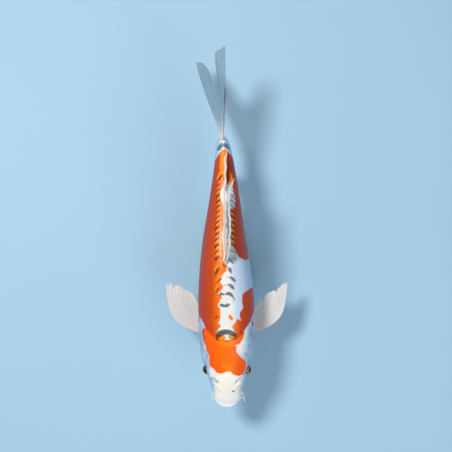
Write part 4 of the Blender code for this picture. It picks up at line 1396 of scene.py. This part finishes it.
# %% Pelvic and anal fins
PELVIC_MARGIN = (
    (0.0270, 0.2180, -0.070), (0.0215, 0.2170, -0.069), (0.0150, 0.2110, -0.065), (0.0100, 0.2020, -0.060),
)
ANAL_MARGIN = (
    (-0.0040, 0.3290, -0.0710), (-0.0030, 0.3330, -0.0610), (-0.0030, 0.3330, -0.0480),
    (-0.0030, 0.3360, -0.0370),
)


def small_fin(root, margin, bend, trail, across, out):
    """A plain fin from its root, its margin, the way it leaves the root and the way its rays end."""
    tip = between_points(margin, across)
    return bezier(root, root + np.array(bend) * lengths(tip - root), tip - np.array(trail), tip, out)


def pelvic_surface(side):
    """The smaller paired fins under the belly."""

    def surface(across, out):
        root = lerp((0.011, 0.168, -0.044), (0.008, 0.184, -0.044), across)
        bend, trail = (0.175, 0.15, -0.225), (0.0012, 0.0108, -0.0036)
        x, along, z = small_fin(root, PELVIC_MARGIN, bend, trail, across, out).T
        return fish_points(side * x - 0.0008, along, z)

    return surface


def anal_surface(across, out):
    """The short fin under the stem."""
    foot = 0.286 + 0.030 * across
    belly = body_point(foot, np.full(len(foot), math.pi))[:, 2] - AXIS_Z
    root = np.stack([body_size(foot, 5), foot, belly + 0.004], axis=-1)
    bend, trail = (0.0, 0.14, -0.30), (0.0, 0.0064, -0.0024)
    return fish_points(*small_fin(root, ANAL_MARGIN, bend, trail, across, out).T)


for word, side in (("left", 1), ("right", -1)):
    make_fin(
        f"pelvic_fin_{word}", f"fin_pelvic_{word}", pelvic_surface(side), pectoral_look,
        rays=9, rows=48, root_thick=0.0030, fleshy=0.18, cut=0.04,
    )
make_fin(
    "anal_fin", "fin_anal", anal_surface, pectoral_look,
    rays=8, rows=48, root_thick=0.0028, fleshy=0.16, cut=0.04,
)

# %% [markdown]
# ## Barbels
#
# A carp has two pairs of feelers: a long one at each corner of the mouth and a short one on the upper lip.
# Each is a soft tube that thins to a round tip, so a ball drawn out along a curve makes it in one closed
# piece.

# %% Feelers
BARBEL_SIDES = 16
BARBEL_RINGS = 40
TIP_START, ROOT_END = 0.94, 0.04  # the shares of the length where the rounded ends begin
LONG_RADIUS, SHORT_RADIUS = 0.00125, 0.0009
# from the corner of the mouth to the tip: the left long feeler trails out, the right one bends in
FEELERS = (
    (
        "barbel_long_left", 1, LONG_RADIUS,
        ((0.0165, 0.0200, -0.0130), (0.0212, 0.0165, -0.0150), (0.0236, 0.0098, -0.0190),
         (0.0253, 0.0020, -0.0235)),
    ),
    (
        "barbel_short_left", 1, SHORT_RADIUS,
        ((0.0130, 0.0125, -0.0070), (0.0195, 0.0110, -0.0078), (0.0228, 0.0085, -0.0105)),
    ),
    (
        "barbel_long_right", -1, LONG_RADIUS,
        ((0.0165, 0.0200, -0.0130), (0.0191, 0.0175, -0.0150), (0.0217, 0.0115, -0.0190),
         (0.0206, 0.0045, -0.0235)),
    ),
    (
        "barbel_short_right", -1, SHORT_RADIUS,
        ((0.0130, 0.0125, -0.0070), (0.01677, 0.0110, -0.0078), (0.019608, 0.0085, -0.0105)),
    ),
)


def barbel_finish():
    f = Finish("barbel_skin", Coat_Weight=0.5, Coat_Roughness=0.15, Roughness=0.35)
    tone = f.layers(
        f.blend(f.attribute("out"), (0.93, 0.91, 0.88), (0.90, 0.91, 0.93)),
        (f.between(f.noise(900.0), 0.4, 0.7, 0.0, 0.5), (0.84, 0.80, 0.76)),
    )
    return f.fill(Base_Color=tone, Normal=f.bump(f.noise(1800.0, 2.0), 0.00008, 0.5))


def make_barbel(name, side, radius, way, finish):
    mesh = ball_mesh(name + "_soft", BARBEL_SIDES, BARBEL_RINGS)
    x, y, z = points_of(mesh).T
    middle = float(body_size(0.0, 5))
    path = [fish_points(middle + side * away, along, up) for away, along, up in way]
    share = (1 - z) / 2
    after, before = (between_points(path, np.clip(share + step, 0, 1)) for step in (0.02, -0.02))
    ahead = (after - before) / lengths(after - before)
    aside = np.cross(ahead, (0, 0, 1.0))
    aside /= lengths(aside)
    around = np.arctan2(y, x)[:, None]
    thick = radius * (1.12 - 0.62 * share)
    thick *= np.sqrt(1 - np.clip((share - TIP_START) / (1 - TIP_START), 0, 1) ** 2)
    thick *= np.sqrt(1 - np.clip((ROOT_END - share) / ROOT_END, 0, 1) ** 2)
    offset = aside * np.cos(around) + np.cross(aside, ahead) * np.sin(around)
    set_points(mesh, between_points(path, share) + offset * thick[:, None])
    store(mesh, {"out": share})
    object_of(mesh, name + "_soft", finish, (name,))


barbel_look = barbel_finish()
for feeler in FEELERS:
    make_barbel(*feeler, barbel_look)


# %% [markdown]
# ## Stand
#
# The stand is plain on purpose, so that it doesn't draw the eye: a flat oval base with a softened edge in
# satin dark paint, and two brushed steel rods, each in a small collar. The sizes are read from the solids.


# %% Finishes of the stand
def paint_finish():
    f = Finish("satin_paint", Coat_Weight=0.15, Coat_Roughness=0.35)
    cloud = f.noise(18.0)
    tone = f.layers(
        f.blend(cloud, (0.040, 0.042, 0.047), (0.055, 0.058, 0.064)),
        (f.between(f.noise(400.0, 4.0), 0.66, 0.74), (0.085, 0.088, 0.095)),
    )
    grain = f.bump(f.noise(900.0, 2.0), 0.00005, 0.6)
    return f.fill(Base_Color=tone, Roughness=f.between(cloud, 0.3, 0.7, 0.38, 0.50), Normal=grain)


def steel_finish():
    f = Finish("brushed_steel", Metallic=1.0)
    grain = f.noise(260.0, 3.0, 0.6, stretch=(1.0, 1.0, 14.0))
    tone = f.blend(grain, (0.52, 0.53, 0.55), (0.62, 0.63, 0.65))
    rough = f.between(grain, 0.3, 0.7, 0.24, 0.40)
    return f.fill(Base_Color=tone, Roughness=rough, Normal=f.bump(grain, 0.00003, 0.5))


# %% Base, rods and collars
COLLAR_WIDTH, COLLAR_HEIGHT, COLLAR_SINK = 0.0042, 0.0040, 0.0002
ROD_INTO_BELLY = 0.002


def upright(name, width, depth, bottom, top, middle, sides, rounding, steps, finish, replaced=()):
    """A round or oval bar or plate between two heights, with its rims rounded."""
    bm = bmesh.new()
    bmesh.ops.create_cone(bm, cap_ends=True, segments=sides, radius1=1, radius2=1, depth=top - bottom)
    bmesh.ops.scale(bm, verts=bm.verts, vec=(width / 2, depth / 2, 1))
    rims = [edge for edge in bm.edges if edge.is_manifold and edge.calc_face_angle() > 1.0]
    bmesh.ops.bevel(
        bm, geom=rims, offset=rounding, affect="EDGES", segments=steps, profile=0.5, material=-1,
        clamp_overlap=True,
    )
    bmesh.ops.translate(bm, verts=bm.verts, vec=(middle.x, middle.y, (top + bottom) / 2))
    bmesh.ops.remove_doubles(bm, verts=bm.verts, dist=1e-7)
    bmesh.ops.recalc_face_normals(bm, faces=bm.faces)
    made = object_of(mesh_of(bm, name), name, finish, replaced)
    made.data.set_sharp_from_angle(angle=math.radians(40))


def make_stand(paint, steel):
    low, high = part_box("stand_base")
    size, middle = high - low, (low + high) / 2
    upright(
        "base_plate", size.x, size.y, low.z, high.z, middle, 144, 0.0015, 4,
        paint, ("stand_base",),
    )
    for word in ("front", "rear"):
        low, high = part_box(f"stand_rod_{word}")
        wide, middle = (high - low).x, (low + high) / 2
        upright(
            f"rod_{word}", wide, wide, low.z, high.z + ROD_INTO_BELLY, middle, 56, 0.0003, 3,
            steel, (f"stand_rod_{word}",),
        )
        wide += 2 * COLLAR_WIDTH
        upright(
            f"collar_{word}", wide, wide, low.z - COLLAR_SINK, low.z + COLLAR_HEIGHT, middle, 56, 0.0009, 3,
            steel,
        )


make_stand(paint_finish(), steel_finish())
